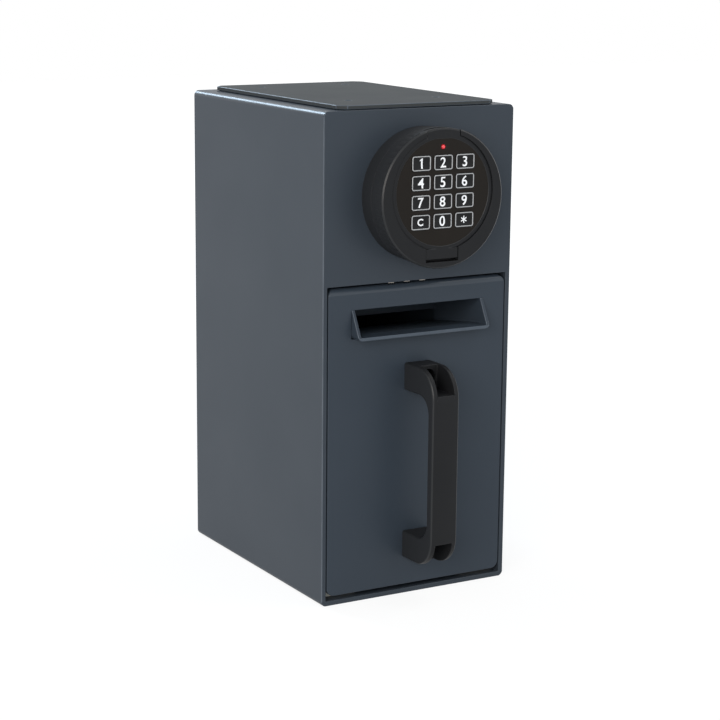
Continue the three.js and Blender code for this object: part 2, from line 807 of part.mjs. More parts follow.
function baseScrew(x) {
  const tip = -knobBaseFloor - baseBossHeight / 2 + touchGap;
  return joined(
    rodY(baseScrewRadius, tip, housingSheet + baseScrewHeadHeight / 2, x),
    rodY(baseScrewHeadRadius, housingSheet, housingSheet + baseScrewHeadHeight, x));
}

function knobShell() {
  const cupBack = knobBaseDepth + knobPartingGap;
  const shoulder = knobReach - knobEdgeRound;
  const body = turned([
    [0, spindleFlangeFront], [knobCupRadius, spindleFlangeFront], [knobCupRadius, cupBack],
    [knobConeRadius(cupBack), cupBack], [knobConeRadius(shoulder), shoulder],
    [knobFrontRadius - knobEdgeRound, knobReach], [0, knobReach]], knobSides);
  const cupInner = knobCupRadius - knobCupWall;
  const cavity = rodY(cupInner, -lidBack, -knobFloorFront, 0, 0, knobSides);
  const pocketRadius = lidRadius + lidPocketGap;
  const pocket = rodY(pocketRadius, -knobReach - cutOverrun, -lidBack + touchGap, 0, lidOffset, knobSides);
  const tabHalf = tabHalfWidth + tabSideGap;
  const tabNotch = block(
    -tabHalf, -knobReach - cutOverrun, lidOffset - tabReach - tabUndercut,
    tabHalf, -lidFront + tabDepth + touchGap, lidOffset - lidRadius + lidSkirt);
  const notchHalf = knuckleHalfLength + tabSideGap;
  const hingeNotch = block(
    -notchHalf, -knobReach - cutOverrun, lidOffset,
    notchHalf, -knobReach + hingePinSetBack + knuckleRadius + touchGap, knobFrontRadius + cutOverrun);
  const pinHalf = hingePinHalfLength + runningGap;
  const pinHole = rodX(
    hingePinRadius + runningGap, -pinHalf, pinHalf, -knobReach + hingePinSetBack, knuckleRise);
  const headHole = -knobFloorFront + spindleScrewSink + touchGap;
  const screwHoles = spindleScrewHeights().flatMap((z) => [
    rodY(spindleScrewRadius + touchGap, -knobFloorFront - cutOverrun, -spindleFlangeFront + cutOverrun, 0, z),
    rodY(spindleScrewHeadRadius + touchGap, -knobFloorFront - cutOverrun, headHole, 0, z)]);
  const hollow = cut(body, cavity, pocket, tabNotch, hingeNotch, pinHole);
  return cut(joined(hollow, batteryWalls()), ...screwHoles);
}

function spindleScrewHeights() {
  return [-spindleScrewReach, spindleScrewReach];
}

function spindle() {
  const noseStart = -housingSheet - touchGap / 2;
  const tail = -(caseFloorY + caseSheet + touchGap + clipThickness + clipNoseTail);
  const grooveFront = -(caseFloorY + caseSheet + touchGap);
  const grooveBack = grooveFront - clipThickness;
  const grooveRadius = spindleNoseRadius - clipGrooveDepth;
  const flangeBack = spindleFlangeFront - spindleFlangeThickness;
  const body = turned([
    [0, tail], [spindleNoseRadius, tail], [spindleNoseRadius, grooveBack], [grooveRadius, grooveBack],
    [grooveRadius, grooveFront], [spindleNoseRadius, grooveFront], [spindleNoseRadius, noseStart],
    [spindleRadius, noseStart], [spindleRadius, flangeBack], [spindleFlangeRadius, flangeBack],
    [spindleFlangeRadius, spindleFlangeFront], [0, spindleFlangeFront]], shaftSides);
  const flat = block(
    spindleNoseRadius - spindleFlatInset, housingSheet + touchGap / 2, -spindleNoseRadius,
    spindleNoseRadius + cutOverrun, boltBackY, spindleNoseRadius);
  const holes = spindleScrewHeights().map((z) => rodY(
    spindleScrewRadius + touchGap, -spindleFlangeFront - cutOverrun, -flangeBack + cutOverrun, 0, z));
  return cut(body, flat, ...holes);
}

function spindleScrew(z) {
  const headBack = -knobFloorFront + spindleScrewSink;
  const tail = -spindleFlangeFront + spindleFlangeThickness;
  return joined(
    rodY(spindleScrewHeadRadius, -knobFloorFront, headBack, 0, z),
    rodY(spindleScrewRadius, headBack - spindleScrewSink / 2, tail, 0, z));
}

function spindleBush() {
  const bore = spindleRadius + runningGap;
  const outer = bore + bushWall;
  const rim = outer + bushFlangeWidth;
  const flangeFront = knobBaseFloor + bushFlangeThickness;
  return turned(closedProfile([
    [bore, -housingSheet], [outer, -housingSheet], [outer, knobBaseFloor], [rim, knobBaseFloor],
    [rim, flangeFront], [bore, flangeFront]]), shaftSides);
}

function spindleClip() {
  const inner = spindleNoseRadius - clipGrooveDepth + runningGap;
  const back = caseFloorY + caseSheet + touchGap;
  const gap = runningGap / 2;
  const ring = cut(
    rodY(spindleNoseRadius + clipWidth, back + gap, back + clipThickness - gap, 0, 0, shaftSides),
    rodY(inner, back - cutOverrun, back + clipThickness + cutOverrun, 0, 0, shaftSides));
  const mouth = block(
    -clipMouth / 2, back - cutOverrun, -spindleNoseRadius - clipWidth - cutOverrun,
    clipMouth / 2, back + clipThickness + cutOverrun, 0);
  return cut(ring, mouth);
}

// Battery space in the knob: three cells in a row between moulded walls
function cellHeight(index) {
  return (index - (cellCount - 1) / 2) * cellPitch;
}

function cellCentreY() {
  return -knobFloorFront - touchGap - cellRadius;
}

function contactFace() {
  return cellLength / 2 + touchGap + contactThickness;
}

function batteryWalls() {
  const back = -knobFloorFront + knobFloorThickness / 2;
  const front = -knobFloorFront - cellWallHeight;
  const halfLength = contactFace() + cellWall;
  const halfHeight = (cellCount * cellPitch) / 2 + cellWall;
  const ends = mirrored((x) => block(
    x - cellWall / 2, front, -halfHeight, x + cellWall / 2, back, halfHeight), halfLength - cellWall / 2);
  const sides = mirrored((z) => block(
    -halfLength, front / 2 + back / 2, z - cellWall / 2,
    halfLength, back, z + cellWall / 2), halfHeight - cellWall / 2);
  return joined(ends, sides);
}

// Neighbouring cells point opposite ways, so that plain bridges join them in series
function batteryCell(index) {
  const side = index % 2 === 0 ? 1 : -1;
  const half = cellLength / 2;
  const shoulder = side * (half - cellNubLength);
  const z = cellHeight(index);
  const can = rodX(
    cellRadius, Math.min(-side * half, shoulder), Math.max(-side * half, shoulder), cellCentreY(), z);
  const nub = rodX(cellNubRadius, Math.min(0, side * half), Math.max(0, side * half), cellCentreY(), z);
  return joined(can, nub);
}

function batteryContact(side, firstCell, lastCell) {
  const outer = side * contactFace();
  const inner = side * (contactFace() - contactThickness);
  return block(
    Math.min(inner, outer), cellCentreY() - contactHeight / 2, cellHeight(firstCell) - contactWidth / 2,
    Math.max(inner, outer), cellCentreY() + contactHeight / 2, cellHeight(lastCell) + contactWidth / 2);
}

// Lid pieces: heights are measured from the lid's own centre
function keyPlaces() {
  const names = ['key_1', 'key_2', 'key_3', 'key_4', 'key_5', 'key_6', 'key_7', 'key_8', 'key_9',
    'key_c', 'key_0', 'key_star'];
  return names.map((name, i) => {
    const column = i % 3;
    const row = Math.floor(i / 3);
    return { name, x: (column - 1) * keyPitchX, z: keyTopRow - row * keyPitchZ };
  });
}

function keyOutline(grow, x = 0, z = 0) {
  const halfWidth = keyWidth / 2 + grow;
  const halfHeight = keyHeight / 2 + grow;
  const corner = keyCornerRadius + grow;
  return roundedRectangle(x - halfWidth, z - halfHeight, x + halfWidth, z + halfHeight, corner);
}

function keypadKey() {
  const front = -lidFront - keyProud;
  const flangeFront = -lidFront + lidPlate + touchGap;
  const flangeBack = flangeFront + keyFlangeThickness;
  const cap = prismY(keyOutline(0), front, flangeBack, keyCornerSteps);
  const flange = prismY(keyOutline(keyFlange), flangeFront, flangeBack, keyCornerSteps);
  const dish = prismY(keyOutline(-keyDishRim), front - cutOverrun, front + keyDish, keyCornerSteps);
  return cut(joined(cap, flange), dish);
}

function boardPosts() {
  return [[-boardPostReach, 0], [boardPostReach, 0], [0, -boardPostReach]];
}

// A post whose thin end goes through the board and is melted into a head behind it
function boardPost(x, z) {
  const root = lidFront - lidPlate / 2;
  const seat = boardFront + touchGap / 2;
  const headFront = boardFront - boardThickness - touchGap / 2;
  const headBack = headFront - boardPegHeadHeight;
  return turned([
    [0, root], [boardPostRadius, root], [boardPostRadius, seat],
    [boardPegRadius, seat], [boardPegRadius, headFront],
    [boardPegHeadRadius, headFront], [boardPegHeadRadius, headBack], [0, headBack]],
  smallSides, x, z);
}

function keypadLid() {
  const skirtInner = lidRadius - lidSkirt;
  const plateBack = lidFront - lidPlate;
  const dish = turned([
    [0, plateBack], [skirtInner, plateBack], [skirtInner, lidBack], [lidRadius, lidBack],
    [lidRadius, lidFront - lidEdgeRound], [lidRadius - lidEdgeRound, lidFront], [lidFaceRadius, lidFront],
    [lidFaceRadius, lidFront - lidFaceSink], [0, lidFront - lidFaceSink]], knobSides);
  const tab = block(
    -tabHalfWidth, -lidFront, -tabReach, tabHalfWidth, -lidFront + tabDepth, -lidRadius + lidSkirt / 2);
  const pinY = -knobReach + hingePinSetBack;
  const hingeZ = knuckleRise - lidOffset;
  const crownRadius = knobFrontRadius - knuckleCrownInset;
  const crown = turned([
    [0, lidBack], [crownRadius, lidBack], [crownRadius, lidFront - lidEdgeRound],
    [crownRadius - lidEdgeRound, lidFront], [0, lidFront]], knobSides, 0, -lidOffset);
  const knuckle = rodX(knuckleRadius, -knuckleHalfLength, knuckleHalfLength, pinY, hingeZ).intersect(crown);
  const pinHalf = knuckleHalfLength + cutOverrun;
  const pinHole = rodX(hingePinRadius + runningGap, -pinHalf, pinHalf, pinY, hingeZ);
  const posts = boardPosts().map(([x, z]) => boardPost(x, z));
  const pockets = keyPlaces().map(({ x, z }) => prismY(
    keyOutline(keySideGap, x, z), -lidFront - cutOverrun, -plateBack + cutOverrun, keyCornerSteps));
  const lampHole = rodY(lampRadius + touchGap, -lidFront - cutOverrun, -plateBack + cutOverrun, 0, lampRise);
  return cut(joined(dish, tab, knuckle, ...posts), pinHole, ...pockets, lampHole);
}

function lidHingePin() {
  return rodX(
    hingePinRadius, -hingePinHalfLength, hingePinHalfLength,
    -knobReach + hingePinSetBack, knuckleRise - lidOffset);
}

function circuitBoard() {
  const radius = lidRadius - lidSkirt - touchGap;
  const back = -boardFront + boardThickness;
  const disc = rodY(radius, -boardFront, back, 0, 0, knobSides / 2);
  const chip = block(
    -chipSize / 2, back - boardThickness / 2, -chipSize / 2, chipSize / 2, back + chipHeight, chipSize / 2);
  const holes = boardPosts().map(([x, z]) => rodY(
    boardPegRadius + touchGap, -boardFront - cutOverrun, back + cutOverrun, x, z));
  return cut(joined(disc, chip), ...holes);
}

function lampLens() {
  const tip = lidFront + keyProud;
  const shoulder = tip - lampRadius;
  const bend = lampRadius * Math.SQRT1_2;
  return turned([
    [0, boardFront], [lampRadius, boardFront], [lampRadius, shoulder], [bend, shoulder + bend], [0, tip]],
  smallSides, 0, lampRise);
}

// Lock works behind the panel: Y is measured inwards from the panel's front, heights from the spindle
function involute(angle) {
  return Math.tan(angle) - angle;
}

function drivePinion() {
  const baseRadius = pitchRadius * Math.cos(pressureAngle);
  const tipRadius = pitchRadius + gearModule;
  const rootRadius = pitchRadius - dedendumShare * gearModule;
  const halfTooth = Math.PI / (2 * pinionTeeth) - gearBacklash / (2 * pitchRadius);
  const flankAngle = (radius) => {
    const local = Math.acos(Math.min(1, baseRadius / radius));
    return halfTooth + involute(pressureAngle) - involute(local);
  };
  const flank = [
    [rootRadius, flankAngle(baseRadius)], [baseRadius, flankAngle(baseRadius)],
    [pitchRadius, flankAngle(pitchRadius)], [tipRadius, flankAngle(tipRadius)]];
  const points = [];
  for (let i = 0; i < pinionTeeth; i += 1) {
    const centre = Math.PI + i * 2 * Math.PI / pinionTeeth;
    for (const [radius, angle] of flank) {
      points.push([radius * Math.cos(centre - angle), radius * Math.sin(centre - angle)]);
    }
    for (const [radius, angle] of [...flank].reverse()) {
      points.push([radius * Math.cos(centre + angle), radius * Math.sin(centre + angle)]);
    }
  }
  const bore = spindleNoseRadius + runningGap;
  const flatX = spindleNoseRadius - spindleFlatInset + runningGap;
  const hole = cut(
    rodY(bore, boltFrontY - cutOverrun, boltBackY + cutOverrun, 0, 0, shaftSides),
    block(flatX, boltFrontY - 2 * cutOverrun, -bore, bore + cutOverrun, boltBackY + 2 * cutOverrun, bore));
  return cut(prismY(outline(points), boltFrontY, boltBackY - runningGap), hole);
}

// The window round the pinion, whose left side is the rack
function rackWindow() {
  const pitch = Math.PI * gearModule;
  const tipX = -pitchRadius + rackAddendumShare * gearModule;
  const rootX = -pitchRadius - dedendumShare * gearModule;
  const slope = Math.tan(pressureAngle);
  const halfAtPitch = pitch / 4 - gearBacklash / 2;
  const halfTip = halfAtPitch - rackAddendumShare * gearModule * slope;
  const halfRoot = halfAtPitch + dedendumShare * gearModule * slope;
  const reach = pitchRadius + gearModule + windowClearance;
  const bottom = -reach;
  const top = boltStroke + reach;
  const points = [[windowRight, bottom], [windowRight, top], [rootX, top]];
  const firstTooth = Math.ceil((bottom + halfRoot) / pitch - 0.5);
  const lastTooth = Math.floor((top - halfRoot) / pitch - 0.5);
  for (let i = lastTooth; i >= firstTooth; i -= 1) {
    const z = (i + 0.5) * pitch;
    points.push([rootX, z + halfRoot], [tipX, z + halfTip], [tipX, z - halfTip], [rootX, z - halfRoot]);
  }
  points.push([rootX, bottom]);
  return outline(points);
}

function studSlot(z) {
  const left = studX - studSlotRadius;
  const right = studX + studSlotRadius;
  return roundedRectangle(left, z - studSlotRadius, right, z + boltStroke + studSlotRadius, studSlotRadius);
}

function boltComb() {
  const points = [];
  for (const x of fingerCentres()) {
    points.push(
      [x - fingerWidth / 2, combFoot], [x - fingerWidth / 2, fingerTip],
      [x + fingerWidth / 2, fingerTip], [x + fingerWidth / 2, combFoot]);
  }
  points.shift();
  points.unshift([boltLeft, boltTop - boltCornerRadius]);
  points.push(
    [boltRight - boltCornerRadius, combFoot], [boltRight, combFoot + boltCornerRadius],
    [boltRight, boltTop - boltCornerRadius], [boltRight - boltCornerRadius, boltTop],
    [boltLeft + boltCornerRadius, boltTop]);
  const shape = outline(points);
  const locks = [0, boltStroke].map((rise) => rodY(
    plungerRadius + touchGap, boltFrontY - cutOverrun, boltBackY + cutOverrun,
    solenoidX, rise - solenoidDrop));
  shape.holes.push(rackWindow(), ...studHeights().map(studSlot));
  return cut(prismY(shape, boltFrontY, boltBackY, slotSteps), ...locks);
}

function guideStud(z) {
  const tail = caseFloorY + caseSheet + studThreadLength;
  return turned([
    [0, -housingSheet], [studRadius, -housingSheet], [studRadius, -caseFloorY],
    [studThreadRadius, -caseFloorY], [studThreadRadius, -tail], [0, -tail]], smallSides, studX, z);
}

function lockCase() {
  const floorBack = caseFloorY + caseSheet;
  const pan = channel(caseHalfWidth, -floorBack, -housingSheet, caseSheet, caseBendRadius);
  const flip = new THREE.Matrix4().makeScale(1, -1, 1);
  const body = prism(pan, -caseBottom, caseTop, flip, cornerSteps);
  const through = (radius, x, z) => rodY(
    radius, caseFloorY - cutOverrun, floorBack + cutOverrun, x, z);
  return cut(
    body,
    through(spindleNoseRadius + touchGap, 0, 0),
    through(plungerRadius + touchGap, solenoidX, -solenoidDrop),
    ...studHeights().map((z) => through(studThreadRadius + touchGap, studX, z)),
    ...solenoidScrewHeights().map((z) => through(solenoidScrewRadius + touchGap, solenoidX, z)));
}

function caseNut(z) {
  const seat = caseFloorY + caseSheet;
  return cut(
    rodY(caseNutRadius, seat, seat + caseNutHeight, studX, z, hexSides),
    rodY(studThreadRadius + touchGap, seat - cutOverrun, seat + caseNutHeight + cutOverrun, studX, z));
}

function solenoidScrewHeights() {
  return [-solenoidDrop - solenoidScrewSpan / 2, -solenoidDrop + solenoidScrewSpan / 2];
}

function solenoidFrame() {
  const front = caseFloorY + caseSheet;
  const back = front + solenoidLength;
  const half = solenoidWidth / 2;
  const low = -solenoidDrop - half;
  const high = -solenoidDrop + half;
  const side = outline([[front, low], [back, low], [back, high], [front, high]]);
  const wall = solenoidPlate / 2;
  side.holes.push(outline([
    [front + solenoidPlate, low + wall], [back - solenoidPlate, low + wall],
    [back - solenoidPlate, high - wall], [front + solenoidPlate, high - wall]]));
  const frame = prismX(side, solenoidX - half, solenoidX + half);
  const lugHalf = solenoidScrewSpan / 2 + solenoidLugReach;
  const lugs = block(
    solenoidX - solenoidLugReach, front, -solenoidDrop - lugHalf,
    solenoidX + solenoidLugReach, front + solenoidPlate, -solenoidDrop + lugHalf);
  const bore = rodY(
    plungerRadius + touchGap, front - cutOverrun, back + cutOverrun, solenoidX, -solenoidDrop);
  const screwHoles = solenoidScrewHeights().map((z) => rodY(
    solenoidScrewRadius + touchGap, front - cutOverrun, front + solenoidPlate + cutOverrun, solenoidX, z));
  return cut(joined(frame, lugs), bore, ...screwHoles);
}

function solenoidCoil() {
  const front = -(caseFloorY + caseSheet + solenoidPlate + touchGap);
  const back = front - (solenoidLength - 2 * solenoidPlate - 2 * touchGap);
  const bore = plungerRadius + touchGap;
  return turned(closedProfile([
    [bore, front], [coilFlangeRadius, front], [coilFlangeRadius, front - coilFlangeThickness],
    [coilRadius, front - coilFlangeThickness], [coilRadius, back + coilFlangeThickness],
    [coilFlangeRadius, back + coilFlangeThickness], [coilFlangeRadius, back], [bore, back]]),
  smallSides, solenoidX, -solenoidDrop);
}

function solenoidPlunger() {
  const tip = -(boltBackY + touchGap);
  const frameBack = -(caseFloorY + caseSheet + solenoidLength);
  const capFront = frameBack - plungerStroke - touchGap;
  const capBack = capFront - plungerCapThickness;
  return turned([
    [0, tip], [plungerRadius, tip], [plungerRadius, capFront], [plungerCapRadius, capFront],
    [plungerCapRadius, capBack], [0, capBack]], smallSides, solenoidX, -solenoidDrop);
}

function solenoidScrew(z) {
  const seat = caseFloorY + caseSheet + solenoidPlate;
  return joined(
    rodY(solenoidScrewHeadRadius, seat, seat + solenoidScrewHeadHeight, solenoidX, z),
    rodY(solenoidScrewRadius, caseFloorY + touchGap, seat + solenoidScrewHeadHeight / 2, solenoidX, z));
}

// Assembly
function buildHousing() {
  const group = new THREE.Group();
  group.add(
    part('housing_shell', housingShell(), powderCoat),
    part('rear_panel', rearPanel(), powderCoat),
    part('mounting_plate', mountingPlate(), powderCoat),
    part('divider_shelf', dividerShelf(), powderCoat),
    part('glide_strip_left', glideStrip(-1), naturalNylon),
    part('glide_strip_right', glideStrip(1), naturalNylon),
    part('rear_buffer_left', rearBuffer(-bufferSpan / 2), blackRubber),
    part('rear_buffer_right', rearBuffer(bufferSpan / 2), blackRubber));
  return group;
}

function buildDrawer() {
  const group = new THREE.Group();
  const [lowerScrew, upperScrew] = handleScrewHeights();
  group.add(
    part('drawer_front', drawerFront(), drawerCoat),
    part('drawer_tub', drawerTub(), drawerCoat),
    part('deposit_chute', depositChute(), drawerCoat),
    part('chute_baffle', chuteBaffle(), drawerCoat),
    part('pull_handle', handleBody(), blackPlastic),
    part('handle_screw_lower', handleScrew(lowerScrew), darkSteel),
    part('handle_screw_upper', handleScrew(upperScrew), darkSteel));
  return group;
}

function buildKnob() {
  const group = new THREE.Group();
  const [lowerScrew, upperScrew] = spindleScrewHeights();
  const lastCell = cellCount - 1;
  group.add(
    part('knob_base', knobBase(), blackPlastic),
    part('base_screw_left', baseScrew(-baseScrewReach), zincSteel),
    part('base_screw_right', baseScrew(baseScrewReach), zincSteel),
    part('knob_shell', knobShell(), blackPlastic),
    part('spindle', spindle(), zincSteel),
    part('spindle_screw_lower', spindleScrew(lowerScrew), darkSteel),
    part('spindle_screw_upper', spindleScrew(upperScrew), darkSteel),
    part('spindle_bush', spindleBush(), brass),
    part('spindle_clip', spindleClip(), darkSteel),
    part('contact_minus', batteryContact(-1, 0, 0), zincSteel),
    part('contact_bridge_right', batteryContact(1, 0, 1), zincSteel),
    part('contact_bridge_left', batteryContact(-1, 1, lastCell), zincSteel),
    part('contact_plus', batteryContact(1, lastCell, lastCell), zincSteel));
  for (let i = 0; i < cellCount; i += 1) group.add(part(`battery_cell_${i + 1}`, batteryCell(i), cellWrap));
  return group;
}

function buildKeypadLid() {
  const group = new THREE.Group();
  group.position.set(0, 0, lidOffset);
  group.add(
    part('keypad_lid', keypadLid(), keypadFace),
    part('lid_hinge_pin', lidHingePin(), zincSteel),
    part('circuit_board', circuitBoard(), boardGreen),
    part('lamp_lens', lampLens(), redLens));
  for (const { name, x, z } of keyPlaces()) group.add(part(name, keypadKey(), keyPlastic, x, 0, z));
  return group;
}

function buildBoltwork() {
  const group = new THREE.Group();
  const [lowerStud, upperStud] = studHeights();
  const [lowerScrew, upperScrew] = solenoidScrewHeights();
  group.add(
    part('drive_pinion', drivePinion(), zincSteel),
    part('bolt_comb', boltComb(), zincSteel),
    part('guide_stud_lower', guideStud(lowerStud), zincSteel),
    part('guide_stud_upper', guideStud(upperStud), zincSteel),
    part('lock_case', lockCase(), zincSteel),
    part('case_nut_lower', caseNut(lowerStud), zincSteel),
    part('case_nut_upper', caseNut(upperStud), zincSteel),
    part('solenoid_frame', solenoidFrame(), darkSteel),
    part('solenoid_coil', solenoidCoil(), coilWrap),
    part('solenoid_plunger', solenoidPlunger(), zincSteel),
    part('solenoid_screw_lower', solenoidScrew(lowerScrew), zincSteel),
    part('solenoid_screw_upper', solenoidScrew(upperScrew), zincSteel));
  return group;
}

const lock = new THREE.Group();
lock.position.set(0, frontY, lockAxisHeight);
lock.add(buildKnob(), buildKeypadLid(), buildBoltwork());

const safe = new THREE.Group();
safe.add(buildHousing(), buildDrawer(), lock);

export default safe;
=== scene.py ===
"""Drop safe with deposit drawer: the looks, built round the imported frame.

Lengths in the dataclasses are in millimetres and become metres where they enter a mesh or a shader.
Reach is measured forwards, towards -Y.
"""

import logging
import math
from collections.abc import Callable, Sequence
from dataclasses import dataclass
from enum import Enum, StrEnum, auto

import bmesh
import bpy
from bmesh.types import BMesh
from bpy.types import Material, Mesh, Node, NodeSocket, NodeTree, Object
from mathutils import Matrix, Vector


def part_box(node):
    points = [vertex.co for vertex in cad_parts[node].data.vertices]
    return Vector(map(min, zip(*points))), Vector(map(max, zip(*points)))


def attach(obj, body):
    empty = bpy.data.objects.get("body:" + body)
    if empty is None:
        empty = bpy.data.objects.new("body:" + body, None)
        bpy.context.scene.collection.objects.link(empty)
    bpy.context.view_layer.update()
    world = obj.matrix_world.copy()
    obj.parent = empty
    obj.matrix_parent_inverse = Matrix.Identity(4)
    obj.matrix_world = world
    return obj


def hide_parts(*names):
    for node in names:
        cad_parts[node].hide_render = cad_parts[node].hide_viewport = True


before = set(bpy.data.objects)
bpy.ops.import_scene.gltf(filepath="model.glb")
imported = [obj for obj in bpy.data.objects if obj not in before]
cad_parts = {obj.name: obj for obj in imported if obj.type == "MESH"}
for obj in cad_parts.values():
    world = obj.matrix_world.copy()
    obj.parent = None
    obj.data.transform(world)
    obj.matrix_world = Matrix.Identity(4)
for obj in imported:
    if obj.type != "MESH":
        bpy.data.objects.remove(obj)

LOG = logging.getLogger("drop_safe")
MM = 0.001
SMOOTH_LIMIT = math.radians(35)
FLAT_LIMIT = math.radians(0.5)
NODE_WELD, WELD = 2e-6, 1e-6
FACING, BEND_FACING = 0.95, 0.12

Colour = tuple[float, float, float, float]
Place = tuple[float, float, float]
Pair = tuple[float, float]
Screen = tuple[int, int, int]

WHITE: Colour = (1.0, 1.0, 1.0, 1.0)


class Body(StrEnum):
    """The bodies of the frame that pieces ride on."""

    HOUSING = auto()
    DRAWER = auto()
    KNOB = auto()
    LID = auto()
    KEY_1 = auto()
    KEY_2 = auto()
    KEY_3 = auto()
    KEY_4 = auto()
    KEY_5 = auto()
    KEY_6 = auto()
    KEY_7 = auto()
    KEY_8 = auto()
    KEY_9 = auto()
    KEY_C = auto()
    KEY_0 = auto()
    KEY_STAR = auto()


class Slot(StrEnum):
    """The record's material slots."""

    HOUSING_COAT = auto()
    DRAWER_COAT = auto()
    BLACK_PLASTIC = auto()
    KEYPAD_FACE = auto()
    KEY_PLASTIC = auto()
    RED_LENS = auto()
    DARK_STEEL = auto()
    GLIDE_NYLON = auto()
    BUFFER_RUBBER = auto()


class Family(Enum):
    """The kinds of node group: the tree's type and the type of its one output."""

    SHADER = ("ShaderNodeTree", "NodeSocketFloat")
    GEOMETRY = ("GeometryNodeTree", "NodeSocketGeometry")


def tone(screen: Screen) -> Colour:
    """Turns a screen colour into the linear colour that a shader takes.

    Args:
        screen: red, green and blue from 0 to 255.

    Returns:
        The linear colour with full alpha.
    """
    toe, toe_slope, lift, power = 0.04045, 12.92, 0.055, 2.4
    shares = (value / 255 for value in screen)
    return *(s / toe_slope if s <= toe else ((s + lift) / (1 + lift)) ** power for s in shares), 1.0


# Node trees

class NodeBench:
    """Adds and joins the nodes of one tree.

    MIX_COLOURS and MIX_RESULT are the numbers of a Mix node's colour inputs and output.
    """

    MIX_COLOURS, MIX_RESULT = (6, 7), 2

    def __init__(self, tree: NodeTree) -> None:
        """Keeps the tree and clears what it starts with."""
        self.tree = tree
        tree.nodes.clear()

    def add(self, kind: str, *values: object, settings: dict[str, object] | None = None,
            **inputs: object) -> Node:
        """Adds a node.

        Args:
            kind: the node's type name.
            values: values or output sockets for its first inputs, in order.
            settings: attributes of the node itself.
            inputs: values or output sockets for inputs by name, with underscores for spaces.

        Returns:
            The new node.
        """
        node = self.tree.nodes.new(kind)
        for key, value in (settings or {}).items():
            setattr(node, key, value)
        for place, value in enumerate(values):
            self.feed(node, place, value)
        for key, value in inputs.items():
            self.feed(node, key.replace("_", " "), value)
        return node

    def out(self, kind: str, *values: object, **inputs: object) -> NodeSocket:
        """Adds a node and returns its first output."""
        return self.add(kind, *values, **inputs).outputs[0]

    def feed(self, node: Node, name: str | int, value: object) -> None:
        """Joins an output socket to a node's input, or sets the input's own value.

        Args:
            node: the node.
            name: the input's name or number.
            value: the output socket or the value.
        """
        if isinstance(value, NodeSocket):
            self.tree.links.new(value, node.inputs[name])
        else:
            node.inputs[name].default_value = value

    def math(self, operation: str, *values: object, clamp: bool = False) -> NodeSocket:
        """Adds a Math node and returns its output."""
        return self.out("ShaderNodeMath", *values, settings={"operation": operation, "use_clamp": clamp})

    def blend(self, share: object, *colours: object) -> NodeSocket:
        """Adds a colour Mix node.

        Args:
            share: the second colour's share.
            colours: the two colours.

        Returns:
            The mixed colour.
        """
        node = self.add("ShaderNodeMix", share, settings={"data_type": "RGBA"})
        for place, colour in zip(self.MIX_COLOURS, colours):
            self.feed(node, place, colour)
        return node.outputs[self.MIX_RESULT]

    def vector(self, **parts: object) -> NodeSocket:
        """Joins X, Y and Z into a vector; a part that isn't named is zero."""
        return self.out("ShaderNodeCombineXYZ", **parts)

    def place(self) -> NodeSocket:
        """The place on the piece, in its own coordinates."""
        return self.add("ShaderNodeTexCoord").outputs["Object"]

    def noise(self, scale: object, **inputs: float) -> NodeSocket:
        """Adds a noise on the piece's own coordinates and returns its value."""
        return self.out("ShaderNodeTexNoise", Vector=self.place(), Scale=scale, **inputs)


class GroupBench(NodeBench):
    """The bench of a new node group with named inputs and one output."""

    KINDS = {int: "NodeSocketInt", float: "NodeSocketFloat", tuple: "NodeSocketVector"}

    def __init__(self, name: str, inputs: dict[str, object], output: str,
                 family: Family = Family.SHADER) -> None:
        """Makes the group.

        Args:
            name: the group's name.
            inputs: each input's name and default.
            output: the output's name.
            family: what kind of group it is.
        """
        tree_kind, output_kind = family.value
        super().__init__(bpy.data.node_groups.new(name, tree_kind))
        sockets = self.tree.interface
        sockets.new_socket(name=output, in_out="OUTPUT", socket_type=output_kind)
        for key, value in inputs.items():
            kind = self.KINDS[type(value)]
            sockets.new_socket(name=key, in_out="INPUT", socket_type=kind).default_value = value
        self.given = self.add("NodeGroupInput").outputs

    def scale_of(self, size: str) -> NodeSocket:
        """The texture scale for one of the group's sizes in millimetres."""
        return self.math("DIVIDE", 1 / MM, self.given[size])

    def close(self, result: NodeSocket) -> NodeTree:
        """Joins the result to the group's output and returns the tree."""
        self.add("NodeGroupOutput", result)
        return self.tree

    def close_in(self, geometry: NodeSocket, finish: Material) -> NodeTree:
        """Ends a geometry tree in Realize Instances and Set Material, and returns it."""
        real = self.out("GeometryNodeRealizeInstances", Geometry=geometry)
        return self.close(self.out("GeometryNodeSetMaterial", Geometry=real, Material=finish))


def new_material(name: str) -> tuple[Material, NodeBench]:
    """Makes a material.

    Args:
        name: its name.

    Returns:
        The material and the bench of its empty tree.
    """
    material = bpy.data.materials.new(name)
    material.use_nodes = True
    return material, NodeBench(material.node_tree)


